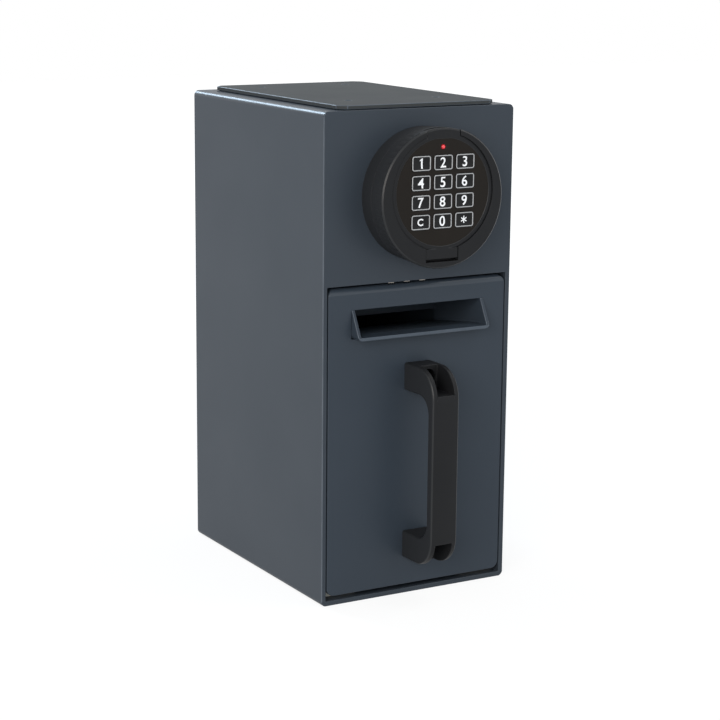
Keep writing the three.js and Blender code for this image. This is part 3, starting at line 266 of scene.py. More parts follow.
class SurfaceGroups:
    """Shader groups that more than one finish uses, each built once."""

    COARSE_SCALE = 0.28
    RUB_SAMPLES = 4
    RUB_SPAN, RUB_LEAST = 0.9, 0.35

    def __init__(self) -> None:
        """Builds the groups."""
        self.grain = self.build_grain()
        self.rub = self.build_rub()
        self.patches = self.build_patches()

    def build_grain(self) -> NodeTree:
        """Builds fine texture in two sizes: the skin of a powder coat or of moulded plastic.

        Returns:
            The group's tree, which puts out a height.
        """
        bench = GroupBench("surface_grain", {"Grain Size": 0.5, "Coarse Share": 0.4}, "Height")
        scale = bench.scale_of("Grain Size")
        fine = bench.noise(scale, Detail=2.0, Roughness=0.6)
        coarse = bench.noise(bench.math("MULTIPLY", scale, self.COARSE_SCALE), Detail=1.0)
        return bench.close(bench.math("MULTIPLY_ADD", coarse, bench.given["Coarse Share"], fine))

    def build_rub(self) -> NodeTree:
        """Builds lighter edges, partly wear and partly a painted highlight: where the rounded normal leaves
        the true one, broken up by noise.

        Returns:
            The group's tree, which puts out a mask.
        """
        bench = GroupBench("edge_rub", {"Width": 0.5, "Strength": 1.0, "Break Size": 6.0}, "Mask")
        radius = bench.math("MULTIPLY", bench.given["Width"], MM)
        rounded = bench.out("ShaderNodeBevel", settings={"samples": self.RUB_SAMPLES}, Radius=radius)
        true = bench.add("ShaderNodeNewGeometry").outputs["True Normal"]
        match = bench.add("ShaderNodeVectorMath", rounded, true, settings={"operation": "DOT_PRODUCT"})
        away = bench.math("SUBTRACT", 1.0, match.outputs["Value"])
        broken = bench.noise(bench.scale_of("Break Size"), Detail=3.0)
        lifted = bench.math("MULTIPLY_ADD", broken, self.RUB_SPAN, self.RUB_LEAST)
        strength = bench.math("MULTIPLY", bench.given["Strength"], lifted)
        return bench.close(bench.math("MULTIPLY", away, strength, clamp=True))

    def build_patches(self) -> NodeTree:
        """Builds broad, soft patches: uneven coat and the marks that hands leave.

        Returns:
            The group's tree, which puts out a share round a half.
        """
        bench = GroupBench("broad_patches", {"Patch Size": 40.0, "Contrast": 1.0}, "Tone")
        cloud = bench.noise(bench.scale_of("Patch Size"), Detail=3.0, Roughness=0.5)
        centred = bench.math("SUBTRACT", cloud, 0.5)
        return bench.close(bench.math("MULTIPLY_ADD", centred, bench.given["Contrast"], 0.5, clamp=True))


GROUPS = SurfaceGroups()


# Finishes

@dataclass(frozen=True)
class Finish:
    """One finish: a base tone with grain, broad patches and lighter edges, which are partly wear and partly a
    painted highlight.

    Roughness runs from roughness to roughness plus roughness_spread over the patches.
    """

    name: str
    base: Screen
    patch: Screen
    # edge is the tone of the lighter edges: partly wear, partly a painted highlight.
    edge: Screen
    roughness: float
    roughness_spread: float = 0.06
    metallic: float = 0.0
    specular: float = 0.5
    grain_size: float = 0.5
    grain_depth: float = 0.01
    coarse_share: float = 0.4
    patch_size: float = 40.0
    patch_contrast: float = 1.2
    edge_width: float = 0.5
    edge_strength: float = 1.5

    def build(self) -> Material:
        """Builds the material round a Principled BSDF.

        Returns:
            The new material.
        """
        material, bench = new_material(self.name)
        bump = bench.out("ShaderNodeBump", Strength=1.0, Distance=self.grain_depth * MM,
                         Height=self.relief(bench))
        shader = bench.add("ShaderNodeBsdfPrincipled", Metallic=self.metallic,
                           Specular_IOR_Level=self.specular, Normal=bump)
        share = self.colour_in(bench, shader)
        rough = bench.math("MULTIPLY_ADD", share, self.roughness_spread, self.roughness)
        bench.feed(shader, "Roughness", rough)
        bench.add("ShaderNodeOutputMaterial", Surface=shader.outputs[0])
        return material

    def colour_in(self, bench: NodeBench, shader: Node) -> NodeSocket:
        """Joins the base colour to the shader.

        Args:
            bench: the bench of the material's tree.
            shader: the Principled BSDF.

        Returns:
            The share by which the roughness runs.
        """
        patches = bench.out("ShaderNodeGroup", settings={"node_tree": GROUPS.patches},
                            Patch_Size=self.patch_size, Contrast=self.patch_contrast)
        rub = bench.out("ShaderNodeGroup", settings={"node_tree": GROUPS.rub},
                        Width=self.edge_width, Strength=self.edge_strength)
        body = bench.blend(patches, tone(self.base), tone(self.patch))
        # The lighter edge tone over the body is partly wear and partly a painted highlight.
        bench.feed(shader, "Base Color", bench.blend(rub, body, tone(self.edge)))
        return patches

    def relief(self, bench: NodeBench) -> NodeSocket:
        """The height of the finish's fine grain."""
        return bench.out("ShaderNodeGroup", settings={"node_tree": GROUPS.grain},
                         Grain_Size=self.grain_size, Coarse_Share=self.coarse_share)


@dataclass(frozen=True)
class BrushedFinish(Finish):
    """A metal with fine streaks along one axis."""

    stretch: Place = (1.0, 1.0, 12.0)

    def relief(self, bench: NodeBench) -> NodeSocket:
        """The height of the streaks."""
        along = bench.out("ShaderNodeMapping", Vector=bench.place(), Scale=tuple(1 / s for s in self.stretch))
        return bench.out("ShaderNodeTexNoise", Vector=along, Scale=1 / (self.grain_size * MM), Detail=2.0)


@dataclass(frozen=True)
class LampFinish(Finish):
    """A red lens that glows towards its middle, whose centre is in metres, as the frame gives it."""

    centre: Pair = (0.0, 0.0)
    radius: float = 1.5
    glow: Screen = (232, 66, 76)
    glow_strength: float = 0.6

    def colour_in(self, bench: NodeBench, shader: Node) -> NodeSocket:
        """Joins the red and the glow, which fades out to the rim.

        Args:
            bench: the bench of the material's tree.
            shader: the Principled BSDF.

        Returns:
            The share that grows from the rim to the middle.
        """
        parts = bench.add("ShaderNodeSeparateXYZ", bench.place()).outputs
        across = bench.math("SUBTRACT", parts["X"], self.centre[0])
        rise = bench.math("SUBTRACT", parts["Z"], self.centre[1])
        square = bench.math("MULTIPLY_ADD", rise, rise, bench.math("MULTIPLY", across, across))
        middle = bench.out("ShaderNodeMapRange", Value=bench.math("SQRT", square),
                           From_Min=self.radius * MM, From_Max=0.0)
        for name, bright in (("Base Color", self.patch), ("Emission Color", self.glow)):
            bench.feed(shader, name, bench.blend(middle, tone(self.base), tone(bright)))
        bench.feed(shader, "Emission Strength", self.glow_strength)
        return middle


@dataclass(frozen=True)
class BoardFinish(Finish):
    """Circuit board lacquer over copper tracks."""

    cell_size: float = 8.0
    cell_offset: float = 0.5
    cell_squash: float = 0.6
    squash_every: int = 3
    track_share: float = 0.06

    def colour_in(self, bench: NodeBench, shader: Node) -> NodeSocket:
        """Joins a maze of slightly lighter tracks to the shader.

        Args:
            bench: the bench of the material's tree.
            shader: the Principled BSDF.

        Returns:
            The tracks' mask.
        """
        upright = bench.out("ShaderNodeMapping", Vector=bench.place(), Rotation=(math.pi / 2, 0.0, 0.0))
        maze = {"offset": self.cell_offset, "squash": self.cell_squash,
                "squash_frequency": self.squash_every}
        cells = bench.add("ShaderNodeTexBrick", settings=maze, Vector=upright,
                          Scale=1 / (self.cell_size * MM), Mortar_Size=self.track_share)
        track = cells.outputs["Fac"]
        bench.feed(shader, "Base Color", bench.blend(track, tone(self.base), tone(self.patch)))
        return track


class Palette:
    """Every finish of the safe, as materials."""

    def __init__(self) -> None:
        """Builds the materials."""
        coat = dict(roughness=0.38, roughness_spread=0.08, specular=0.2, grain_size=0.3, grain_depth=0.012,
                    patch_size=70.0, edge_width=0.6, edge_strength=0.9)
        bend = coat | dict(roughness=0.27, specular=0.3, grain_depth=0.004)
        roof = coat | dict(roughness=0.6, specular=0.1, patch_size=50.0, edge_strength=1.2)
        thin = dict(specular=0.3, grain_size=0.3, grain_depth=0.006, patch_size=9.0, patch_contrast=2.0)
        mould = dict(roughness=0.46, roughness_spread=0.08, specular=0.15, grain_size=0.2, grain_depth=0.01,
                     patch_size=18.0, edge_width=0.35, edge_strength=1.4)
        matt = mould | dict(roughness=0.6, specular=0.2, grain_size=0.25, grain_depth=0.014,
                            edge_strength=1.2)
        ink = dict(grain_size=0.1, grain_depth=0.002, patch_size=4.0)
        steel = dict(roughness=0.3, roughness_spread=0.18, metallic=1.0, grain_size=0.25, grain_depth=0.004,
                     patch_size=6.0, patch_contrast=2.2)
        # The third tone of each finish lightens its edges: partly wear, partly a painted highlight.
        housing = (51, 58, 66), (48, 55, 63), (110, 116, 124)
        drawer = (49, 57, 66), (46, 54, 63), (104, 112, 122)
        black = (26, 27, 29), (23, 24, 26)
        self.housing_coat = Finish("housing_powder_coat", *housing, **coat).build()
        self.drawer_coat = Finish("drawer_powder_coat", *drawer, **coat).build()
        self.housing_bend = Finish("housing_coat_on_bends", *housing, **bend).build()
        self.drawer_bend = Finish("drawer_coat_on_bends", *drawer, **bend).build()
        self.plate_coat = Finish(
            "plate_powder_coat", (59, 62, 63), (55, 58, 60), (96, 100, 103), **roof).build()
        # A lighter copy of the coat for cut lips and plate edges: a painted highlight.
        self.lip_coat = Finish(
            "coat_with_painted_lip_highlight", (69, 78, 88), (61, 70, 80), (96, 106, 118), roughness=0.36, **thin).build()
        # A lighter copy of the coat for the bevels round the housing's front: a painted highlight.
        self.coat_edge = Finish(
            "coat_with_painted_edge_highlight", (84, 91, 99), (68, 75, 83), (112, 119, 128), roughness=0.34, **thin).build()
        # Glossier black plastic with a lighter tone: polish on the edges plus a painted highlight.
        self.worn_plastic = Finish(
            "polished_plastic_edge_with_painted_highlight", (33, 35, 37), (28, 30, 32), (54, 56, 58), roughness=0.34, specular=0.26,
            grain_size=0.2, grain_depth=0.003, patch_size=9.0, patch_contrast=1.6).build()
        self.knob_plastic = Finish("knob_moulded_black", *black, (56, 58, 60), **mould).build()
        self.grip_plastic = Finish("grip_moulded_black", *black, (58, 60, 64), **mould).build()
        # Matt plastic with a lighter tone than the glossy black: the matt texture plus painted light on the
        # sides.
        self.matt_plastic = Finish(
            "matt_moulded_side_with_painted_light", (33, 35, 38), (30, 32, 35), (50, 53, 57), **matt).build()
        self.keypad_foil = Finish(
            "keypad_foil", (26, 22, 18), (23, 20, 17), (42, 40, 38), roughness=0.45, specular=0.12,
            grain_size=0.12, grain_depth=0.003, patch_size=20.0).build()
        self.key_plastic = Finish(
            "key_smoked_plastic", (15, 16, 17), (12, 13, 14), (28, 29, 30), roughness=0.36, specular=0.18,
            grain_size=0.12, grain_depth=0.002, patch_size=6.0).build()
        self.key_frame = Finish(
            "key_frame_ink", (162, 163, 164), (154, 155, 157), (176, 178, 180), roughness=0.45,
            specular=0.4, **ink).build()
        self.legend_ink = Finish(
            "legend_white_ink", (236, 238, 240), (228, 230, 233), (240, 240, 240), roughness=0.5,
            specular=0.3, **ink).build()
        self.zinc = Finish(
            "zinc_plated_steel", (176, 180, 184), (150, 154, 160), (205, 207, 210), **steel).build()
        self.cut_steel = BrushedFinish(
            "brushed_bolt_steel", (150, 144, 137), (124, 119, 114), (180, 176, 172), **steel).build()
        self.brass = Finish("turned_brass", (196, 160, 92), (170, 134, 74), (220, 190, 130), **steel).build()
        self.black_steel = Finish(
            "black_oxide_steel", (58, 60, 62), (44, 46, 48), (110, 112, 114), roughness=0.38, metallic=0.85,
            grain_size=0.2, grain_depth=0.004, patch_size=4.0, patch_contrast=2.0).build()
        self.board = BoardFinish(
            "board_lacquer", (24, 70, 44), (36, 98, 60), (60, 120, 80), roughness=0.35, roughness_spread=-0.1,
            grain_size=0.3, grain_depth=0.002).build()
        self.cell_foil = Finish(
            "cell_wrap_foil", (86, 92, 100), (74, 80, 88), (140, 144, 150), roughness=0.28, metallic=0.4,
            grain_size=0.4, grain_depth=0.002, patch_size=9.0).build()
        self.coil_tape = Finish(
            "coil_copper_winding", (150, 78, 40), (120, 58, 30), (190, 120, 80), roughness=0.35, metallic=0.6,
            grain_size=0.3, grain_depth=0.02, patch_size=3.0).build()
        self.nylon = Finish(
            "glide_nylon", (214, 212, 202), (202, 200, 190), (228, 226, 220), roughness=0.5,
            grain_size=0.4, grain_depth=0.008, patch_size=12.0).build()
        self.rubber = Finish(
            "buffer_rubber", (30, 30, 30), (38, 38, 37), (60, 60, 60), roughness=0.8, specular=0.25,
            grain_size=0.3, grain_depth=0.03, patch_size=5.0).build()


# Mesh work

@dataclass(frozen=True)
class EdgeBreak:
    """How sharp edges are rounded: all past an angle or only marked ones, and in which of the finishes."""

    width: float = 0.3
    segments: int = 2
    limit: float = 36.0
    marked_only: bool = False
    finish_index: int = -1


def opened(mesh: Mesh) -> BMesh:
    """Opens a mesh for editing.

    Args:
        mesh: the mesh, which stays as it is.

    Returns:
        A new bmesh that holds a copy of it.
    """
    shape = bmesh.new()
    shape.from_mesh(mesh)
    return shape


def poured(shape: BMesh, mesh: Mesh) -> Mesh:
    """Writes a bmesh into a mesh.

    Args:
        shape: the bmesh, which is freed.
        mesh: the mesh, whose old shape is lost.

    Returns:
        The same mesh.
    """
    shape.to_mesh(mesh)
    shape.free()
    return mesh


def linked(name: str, data: bpy.types.ID) -> Object:
    """Makes an object in the scene.

    Args:
        name: its name, which its data takes too.
        data: its mesh, curve, lamp or camera.

    Returns:
        The new object.
    """
    data.name = name
    item = bpy.data.objects.new(name, data)
    bpy.context.scene.collection.objects.link(item)
    return item


def shade(mesh: Mesh) -> None:
    """Shades a mesh smooth up to its sharp edges."""
    mesh.polygons.foreach_set("use_smooth", [True] * len(mesh.polygons))
    mesh.set_sharp_from_angle(angle=SMOOTH_LIMIT)


def piece_from(name: str, shape: BMesh, finishes: Sequence[Material]) -> Object:
    """Turns a bmesh into a piece.

    Args:
        name: the piece's name.
        shape: the bmesh, which is freed.
        finishes: the materials, in the order of the faces' material indices.

    Returns:
        The new object, with smooth faces and sharp edges kept.
    """
    mesh = poured(shape, bpy.data.meshes.new(name))
    for finish in finishes:
        mesh.materials.append(finish)
    shade(mesh)
    return linked(name, mesh)


def plain_piece(name: str, mesh: Mesh) -> Object:
    """Turns a mesh into a piece, with its faces outwards and smooth up to its sharp edges.

    Args:
        name: the piece's name.
        mesh: the mesh, which is changed.

    Returns:
        The new object.
    """
    shape = opened(mesh)
    bmesh.ops.remove_doubles(shape, verts=shape.verts, dist=WELD)
    bmesh.ops.recalc_face_normals(shape, faces=shape.faces)
    shade(poured(shape, mesh))
    return linked(name, mesh)


def settled(holder: Object, *tools: Object) -> Mesh:
    """Takes an object's finished mesh.

    Args:
        holder: the object with its modifiers or its curve, which is removed.
        tools: the objects that it used, which are removed too.

    Returns:
        The plain mesh.
    """
    view = bpy.context.evaluated_depsgraph_get()
    mesh = bpy.data.meshes.new_from_object(holder.evaluated_get(view))
    for spent in (holder, *tools):
        bpy.data.objects.remove(spent)
    return mesh


def soften(piece: Object, *edges: EdgeBreak) -> None:
    """Rounds a piece's sharp edges and keeps its flat faces flat in the shading.

    Args:
        piece: the piece.
        edges: the breaks, one after another.
    """
    for edge in edges:
        bevel = piece.modifiers.new("edge_break", "BEVEL")
        bevel.width, bevel.segments = edge.width * MM, edge.segments
        bevel.use_clamp_overlap = bevel.loop_slide = False
        bevel.material = edge.finish_index
        bevel.limit_method = "WEIGHT" if edge.marked_only else "ANGLE"
        bevel.angle_limit = math.radians(edge.limit)
        bevel.miter_outer = "MITER_ARC"
    piece.modifiers.new("flat_faces", "WEIGHTED_NORMAL").keep_sharp = True


def mark_edges(shape: BMesh, chosen: Callable[[Vector], bool]) -> None:
    """Marks sharp edges for the breaks that take marked edges only.

    Args:
        shape: the bmesh.
        chosen: the test that both of an edge's ends pass, given in millimetres.
    """
    weights = shape.edges.layers.float.new("bevel_weight_edge")
    for edge in shape.edges:
        sharp = edge.is_manifold and edge.calc_face_angle() > SMOOTH_LIMIT
        if sharp and all(chosen(vertex.co / MM) for vertex in edge.verts):
            edge[weights] = 1.0


def mark_bends(piece: Object) -> None:
    """Gives the upward-turned faces of a piece's bends the last of its finishes.

    Args:
        piece: the piece of folded sheet.
    """
    for face in piece.data.polygons:
        if BEND_FACING < face.normal.z < FACING:
            face.material_index = len(piece.data.materials) - 1


def dressed(node: str, name: str, finishes: Sequence[Material], *edges: EdgeBreak,
            chosen: Callable[[Vector], bool] | None = None) -> Object:
    """Makes a piece from a frame node, with its corners joined, its faces whole and its edges broken.

    Args:
        node: the frame node's name.
        name: the new piece's name.
        finishes: its materials.
        edges: how its edges are rounded.
        chosen: the test for marked edges, if a break asks for them.

    Returns:
        The new object.
    """
    shape = opened(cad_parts[node].data)
    bmesh.ops.remove_doubles(shape, verts=shape.verts, dist=NODE_WELD)
    bmesh.ops.dissolve_limit(shape, angle_limit=FLAT_LIMIT, verts=shape.verts, edges=shape.edges)
    for layer in list(shape.loops.layers.uv):
        shape.loops.layers.uv.remove(layer)
    if chosen:
        mark_edges(shape, chosen)
    piece = piece_from(name, shape, finishes)
    soften(piece, *edges)
    return piece


def fit_out(piece: Object, body: Body, slot: Slot, *nodes: str) -> None:
    """Rides a piece on its body, hides the nodes that it stands for, and reports it.

    Args:
        piece: the finished object.
        body: the body that it moves with.
        slot: the record's material slot; not used.
        nodes: the frame nodes that it replaces, if any.
    """
    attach(piece, body.value)
    if nodes:
        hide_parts(*nodes)
    LOG.info("%s on %s, %d faces, for %s", piece.name, body, len(piece.data.polygons), nodes or "itself")


def middle_of(node: str) -> Vector:
    """The middle of a frame node's box, in metres."""
    return sum(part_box(node), Vector()) / 2


def stacked(rings: Sequence[Sequence[Vector]], marks: Sequence[int] = ()) -> BMesh:
    """Joins rings of equal count into a closed skin with a flat face at each end.

    Args:
        rings: the rings from back to front.
        marks: the material index of each band between neighbouring rings.

    Returns:
        The closed bmesh.
    """
    shape = bmesh.new()
    rows = [[shape.verts.new(point) for point in ring] for ring in rings]
    for band, (lower, upper) in enumerate(zip(rows, rows[1:])):
        for i, corner in enumerate(lower):
            after = (i + 1) % len(lower)
            face = shape.faces.new((corner, lower[after], upper[after], upper[i]))
            face.material_index = marks[band] if marks else 0
    shape.faces.new(rows[0][::-1])
    shape.faces.new(rows[-1])
    bmesh.ops.recalc_face_normals(shape, faces=shape.faces)
    return shape


def turned(profile: Sequence[Pair], steps: int, centre: Vector) -> BMesh:
    """Turns a profile round an axis along Y.

    Args:
        profile: pairs of radius and reach from the centre, in millimetres.
        steps: how many sides the turned piece has.
        centre: the point on the axis that reach is measured from, in metres.

    Returns:
        The closed bmesh.
    """
    angles = [2 * math.pi * i / steps for i in range(steps)]
    rings = [[Vector((math.cos(a) * radius, -reach, math.sin(a) * radius)) for a in angles]
             for radius, reach in profile]
    return stacked([[centre + point * MM for point in ring] for ring in rings])


def arc(centre: Pair, radius: float, start: float, stop: float, steps: int) -> list[Pair]:
    """Points along an arc, with its angles in degrees."""
    angles = [math.radians(start + (stop - start) * i / steps) for i in range(steps + 1)]
    return [(centre[0] + radius * math.cos(a), centre[1] + radius * math.sin(a)) for a in angles]


def slab(half: float, outline: Sequence[Pair]) -> BMesh:
    """A block from -half to half along X, whose outline in Y and Z is in millimetres."""
    return stacked([[Vector((x, y, z)) * MM for y, z in outline] for x in (-half, half)])


def carved(name: str, shape: BMesh, cutters: Sequence[BMesh], finishes: Sequence[Material]) -> Object:
    """Cuts shapes out of a shape.

    Args:
        name: the new piece's name.
        shape: what is cut.
        cutters: what is taken away, one after another.
        finishes: the piece's materials.

    Returns:
        The new object, a plain mesh.
    """
    blank = piece_from(f"{name}_blank", shape, finishes)
    tools = [piece_from(f"{name}_tool", cutter, []) for cutter in cutters]
    for tool in tools:
        carve = blank.modifiers.new("carve", "BOOLEAN")
        carve.operation, carve.solver, carve.object = "DIFFERENCE", "EXACT", tool
    return plain_piece(name, settled(blank, *tools))


def rounded_ring(half: Pair, corner: float, steps: int, side_steps: int = 6) -> list[Pair]:
    """Points round a rectangle with round corners, in millimetres.

    Args:
        half: half its width and half its height.
        corner: the corners' radius.
        steps: how many steps a corner has.
        side_steps: how many points stand on each straight side.

    Returns:
        The points in order.
    """
    bends = []
    for turn, sides in enumerate(((1, 1), (-1, 1), (-1, -1), (1, -1))):
        x, z = (side * (size - corner) for side, size in zip(sides, half))
        bends.append(arc((x, z), corner, 90 * turn, 90 * (turn + 1), steps))
    points = []
    for bend, after in zip(bends, bends[1:] + bends[:1]):
        (start_x, start_z), (stop_x, stop_z) = bend[-1], after[0]
        shares = (i / (side_steps + 1) for i in range(1, side_steps + 1))
        points += bend
        points += [(start_x + (stop_x - start_x) * s, start_z + (stop_z - start_z) * s) for s in shares]
    return points


def grown(name: str, tree: NodeTree, values: dict[str, object]) -> Object:
    """Runs a geometry tree and keeps its result as a plain mesh.

    Args:
        name: the new piece's name.
        tree: the geometry tree.
        values: the tree's named inputs.

    Returns:
        The new object, with no modifier.
    """
    holder = linked(f"{name}_holder", bpy.data.meshes.new(name))
    modifier = holder.modifiers.new("grow", "NODES")
    modifier.node_group = tree
    for item in tree.interface.items_tree:
        if item.in_out == "INPUT":
            modifier[item.identifier] = values[item.name]
    return plain_piece(name, settled(holder))


# Sub-assemblies

@dataclass
class SubAssembly:
    """A part of the safe that is dressed from one palette."""

    palette: Palette


@dataclass
class Housing(SubAssembly):
    """Folded wrap with the lock panel, rear wall, roof plate, shelf, glides and buffers."""

    sheet_edge: EdgeBreak = EdgeBreak()
    # The front rim's bevels take the second finish, the lighter coat that paints a highlight on them.
    front_edge: EdgeBreak = EdgeBreak(width=0.5, marked_only=True, finish_index=1)
    # The roof plate's bevels take its second finish, the lighter coat that paints a highlight.
    plate_edge: EdgeBreak = EdgeBreak(width=0.35, finish_index=1)
    glide_edge: EdgeBreak = EdgeBreak(width=0.4)
    rim_slack: float = 0.1

    def build(self) -> None:
        """Dresses every piece of the housing."""
        looks = self.palette
        # The second finish is the lighter coat that paints a highlight on the front rim's bevels.
        coats = [looks.housing_coat, looks.coat_edge, looks.housing_bend]
        wrap = dressed("housing_shell", "housing_wrap", coats, self.front_edge, self.sheet_edge,
                       chosen=self.on_front_rim)
        mark_bends(wrap)
        fit_out(wrap, Body.HOUSING, Slot.HOUSING_COAT, "housing_shell")
        coat, plain = Slot.HOUSING_COAT, [looks.housing_coat]
        pieces = [
            (coat, "rear_panel", "rear_wall", plain, self.sheet_edge),
            (coat, "divider_shelf", "bay_shelf", plain, self.sheet_edge),
            # The plate's bevels take the lighter lip coat, a painted highlight.
            (coat, "mounting_plate", "roof_plate", [looks.plate_coat, looks.lip_coat], self.plate_edge)]
        for side in ("left", "right"):
            glide, buffer = f"glide_strip_{side}", f"rear_buffer_{side}"
            pieces += [
                (Slot.GLIDE_NYLON, glide, f"glide_{side}", [looks.nylon], self.glide_edge),
                (Slot.BUFFER_RUBBER, buffer, f"buffer_{side}", [looks.rubber], self.glide_edge)]
        for slot, node, name, finishes, edge in pieces:
            fit_out(dressed(node, name, finishes, edge), Body.HOUSING, slot, node)

    def on_front_rim(self, corner: Vector) -> bool:
        """Tests a corner for the wrap's front break.

        Args:
            corner: the corner, in millimetres.

        Returns:
            Whether it lies on the outer front rim.
        """
        low, high = (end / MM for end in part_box("housing_shell"))
        outer = abs(corner.x) > high.x - self.rim_slack or corner.z < low.z + self.rim_slack
        return corner.y < low.y + self.rim_slack and outer


@dataclass
class Drawer(SubAssembly):
    """Drawer front, box, chute and baffle."""

    sheet_edge: EdgeBreak = EdgeBreak()
    lip_edge: EdgeBreak = EdgeBreak(marked_only=True, finish_index=1)

    def build(self) -> None:
        """Dresses the drawer's sheet metal."""
        looks = self.palette
        sheets = {"drawer_front": "drawer_face", "drawer_tub": "drawer_box", "chute_baffle": "baffle_sheet"}
        for node, name in sheets.items():
            sheet = dressed(node, name, [looks.drawer_coat, looks.drawer_bend], self.sheet_edge)
            mark_bends(sheet)
            fit_out(sheet, Body.DRAWER, Slot.DRAWER_COAT, node)
        # The chute's front lip and its bevels take the lighter coat: a painted highlight on the cut edges.
        chute = dressed("deposit_chute", "chute_sheet", [looks.drawer_coat, looks.lip_coat], self.lip_edge,
                        chosen=self.on_lip)
        front = min(vertex.co.y for vertex in chute.data.vertices)
        for face in chute.data.polygons:
            face.material_index = int(face.center.y < front + self.lip_edge.width * MM)
        fit_out(chute, Body.DRAWER, Slot.DRAWER_COAT, "deposit_chute")

    @staticmethod
    def on_lip(corner: Vector) -> bool:
        """Tells whether a corner, in millimetres, lies on the lip in front of the drawer's face."""
        return corner.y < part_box("drawer_front")[0].y / MM


@dataclass
class PullHandle(SubAssembly):
    """Moulded bridge handle and its two socket screws.

    The crown shares are places across the grip, and the edge marks the finishes of its edge bands: mark 1 is
    polished plastic with a lighter painted highlight. The flat sides take matt plastic with lighter painted
    light.
    """

    edge: EdgeBreak = EdgeBreak(width=0.35, limit=40)
    screw_edge: EdgeBreak = EdgeBreak(width=0.22)
    head_height: float = 3.0
    shank_radius: float = 2.5
    socket_sides: int = 6
    socket_radius: float = 2.2
    socket_depth: float = 1.8
    round_steps: int = 48
    grip_thickness: float = 6.5
    outer_radius: float = 18.0
    inner_radius: float = 11.0
    leg_height: float = 17.0
    outer_steps: int = 20
    inner_steps: int = 14
    edge_round: float = 1.3
    edge_marks: tuple[int, ...] = (0, 1, 1, 0)
    matt_index: int = 2
    front_fall: float = 0.6
    crown_shares: tuple[float, ...] = (-0.7, -0.35, 0.0, 0.35, 0.7)
    recess_half: float = 6.0
    recess_height: float = 15.2
    recess_start: float = 13.0
    thumb_fall: float = 0.9
    thumb_height: float = 4.6
    bore_radius: float = 4.9
    seat_thickness: float = 5.0
    clearance: float = 0.3
    overrun: float = 2.0

    @property
    def box(self) -> tuple[Vector, Vector]:
        """The corners of the handle's box, in millimetres."""
        low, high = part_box("pull_handle")
        return low / MM, high / MM

    def build(self) -> None:
        """Builds the handle and grows its screws."""
        looks = self.palette
        # Edge bands take polished plastic with a painted highlight, the flat sides matt plastic with painted
        # light.
        finishes = [looks.grip_plastic, looks.worn_plastic, looks.matt_plastic]
        grip = carved("bridge_handle", self.grip_shape(), self.cutters(), finishes)
        soften(grip, self.edge)
        fit_out(grip, Body.DRAWER, Slot.BLACK_PLASTIC, "pull_handle")
        for end in ("lower", "upper"):
            self.build_screw(f"handle_screw_{end}", f"socket_screw_{end}")

    def side_ring(self, inset: float, x: float) -> list[Vector]:
        """The handle's side outline at one place across it.

        Args:
            inset: how far the outline is drawn in.
            x: where the outline stands; the grip's front falls back towards the sides.

        Returns:
            The points in metres, the same count for every inset.
        """
        low, high = self.box
        fall = self.front_fall * min(1.0, abs(x) / (high.x - self.edge_round)) ** 2
        front, wall = low.y + inset + fall, high.y
        top, bottom = high.z - inset, low.z + inset
        outer, inner = self.outer_radius - inset, self.inner_radius + inset
        back = low.y + self.grip_thickness - inset
        leg_top, leg_bottom = high.z - self.leg_height + inset, low.z + self.leg_height - inset
        outline = [(wall, top)]
        outline += arc((front + outer, top - outer), outer, 90, 180, self.outer_steps)
        outline += arc((front + outer, bottom + outer), outer, 180, 270, self.outer_steps)
        outline += [(wall, bottom), (wall, leg_bottom)]
        outline += arc((back + inner, leg_bottom + inner), inner, 270, 180, self.inner_steps)
        outline += arc((back + inner, leg_top - inner), inner, 180, 90, self.inner_steps)
        outline.append((wall, leg_top))
        return [Vector((x, y, z)) * MM for y, z in outline]

    def grip_shape(self) -> BMesh:
        """The handle before its recesses: outlines side by side, with rounded edges and a crowned front.

        Returns:
            The closed bmesh, with polished bands along its edges that carry a painted highlight, and matt
            sides with painted light.
        """
        flat_half, steps = self.box[1].x - self.edge_round, len(self.edge_marks)
        bend = arc((-flat_half, self.edge_round), self.edge_round, 180, 270, steps)
        crown = [(flat_half * share, 0.0) for share in self.crown_shares]
        rings = bend + crown + [(-x, inset) for x, inset in reversed(bend)]
        plain = [0] * (len(rings) - 1 - 2 * steps)
        shape = stacked([self.side_ring(inset, x) for x, inset in rings],
                        [*self.edge_marks, *plain, *reversed(self.edge_marks)])
        for face in shape.faces:
            if abs(face.normal.x) > FACING:
                face.material_index = self.matt_index
        return shape

    def cutters(self) -> list[BMesh]:
        """The recesses at both ends, the eased edge under the upper one, and the screws' bores.

        Returns:
            The closed bmeshes that are cut away.
        """
        low, high = self.box
        front, back, seat = low.y - self.overrun, high.y - self.recess_start, high.y - self.seat_thickness
        floor, roof = high.z - self.recess_height, low.z + self.recess_height + self.clearance
        shapes = [slab(self.recess_half, [(front, start), (back, start), (back, stop), (front, stop)])
                  for start, stop in ((floor, high.z + self.overrun), (low.z - self.overrun, roof))]
        slope, eased = self.thumb_fall / self.thumb_height, low.y + self.thumb_fall
        shapes.append(slab(self.recess_half, [
            (front, floor - self.thumb_height - self.overrun / slope), (eased, floor),
            (eased, floor + self.overrun), (front, floor + self.overrun)]))
        bores = ((self.bore_radius, back - self.overrun, seat),
                 (self.shank_radius + self.clearance, seat - self.overrun, high.y + self.overrun))
        for end in ("lower", "upper"):
            axis = Vector((0.0, 0.0, middle_of(f"handle_screw_{end}").z))
            shapes += [turned([(radius, -stop), (radius, -start)], self.round_steps, axis)
                       for radius, start, stop in bores]
        return shapes

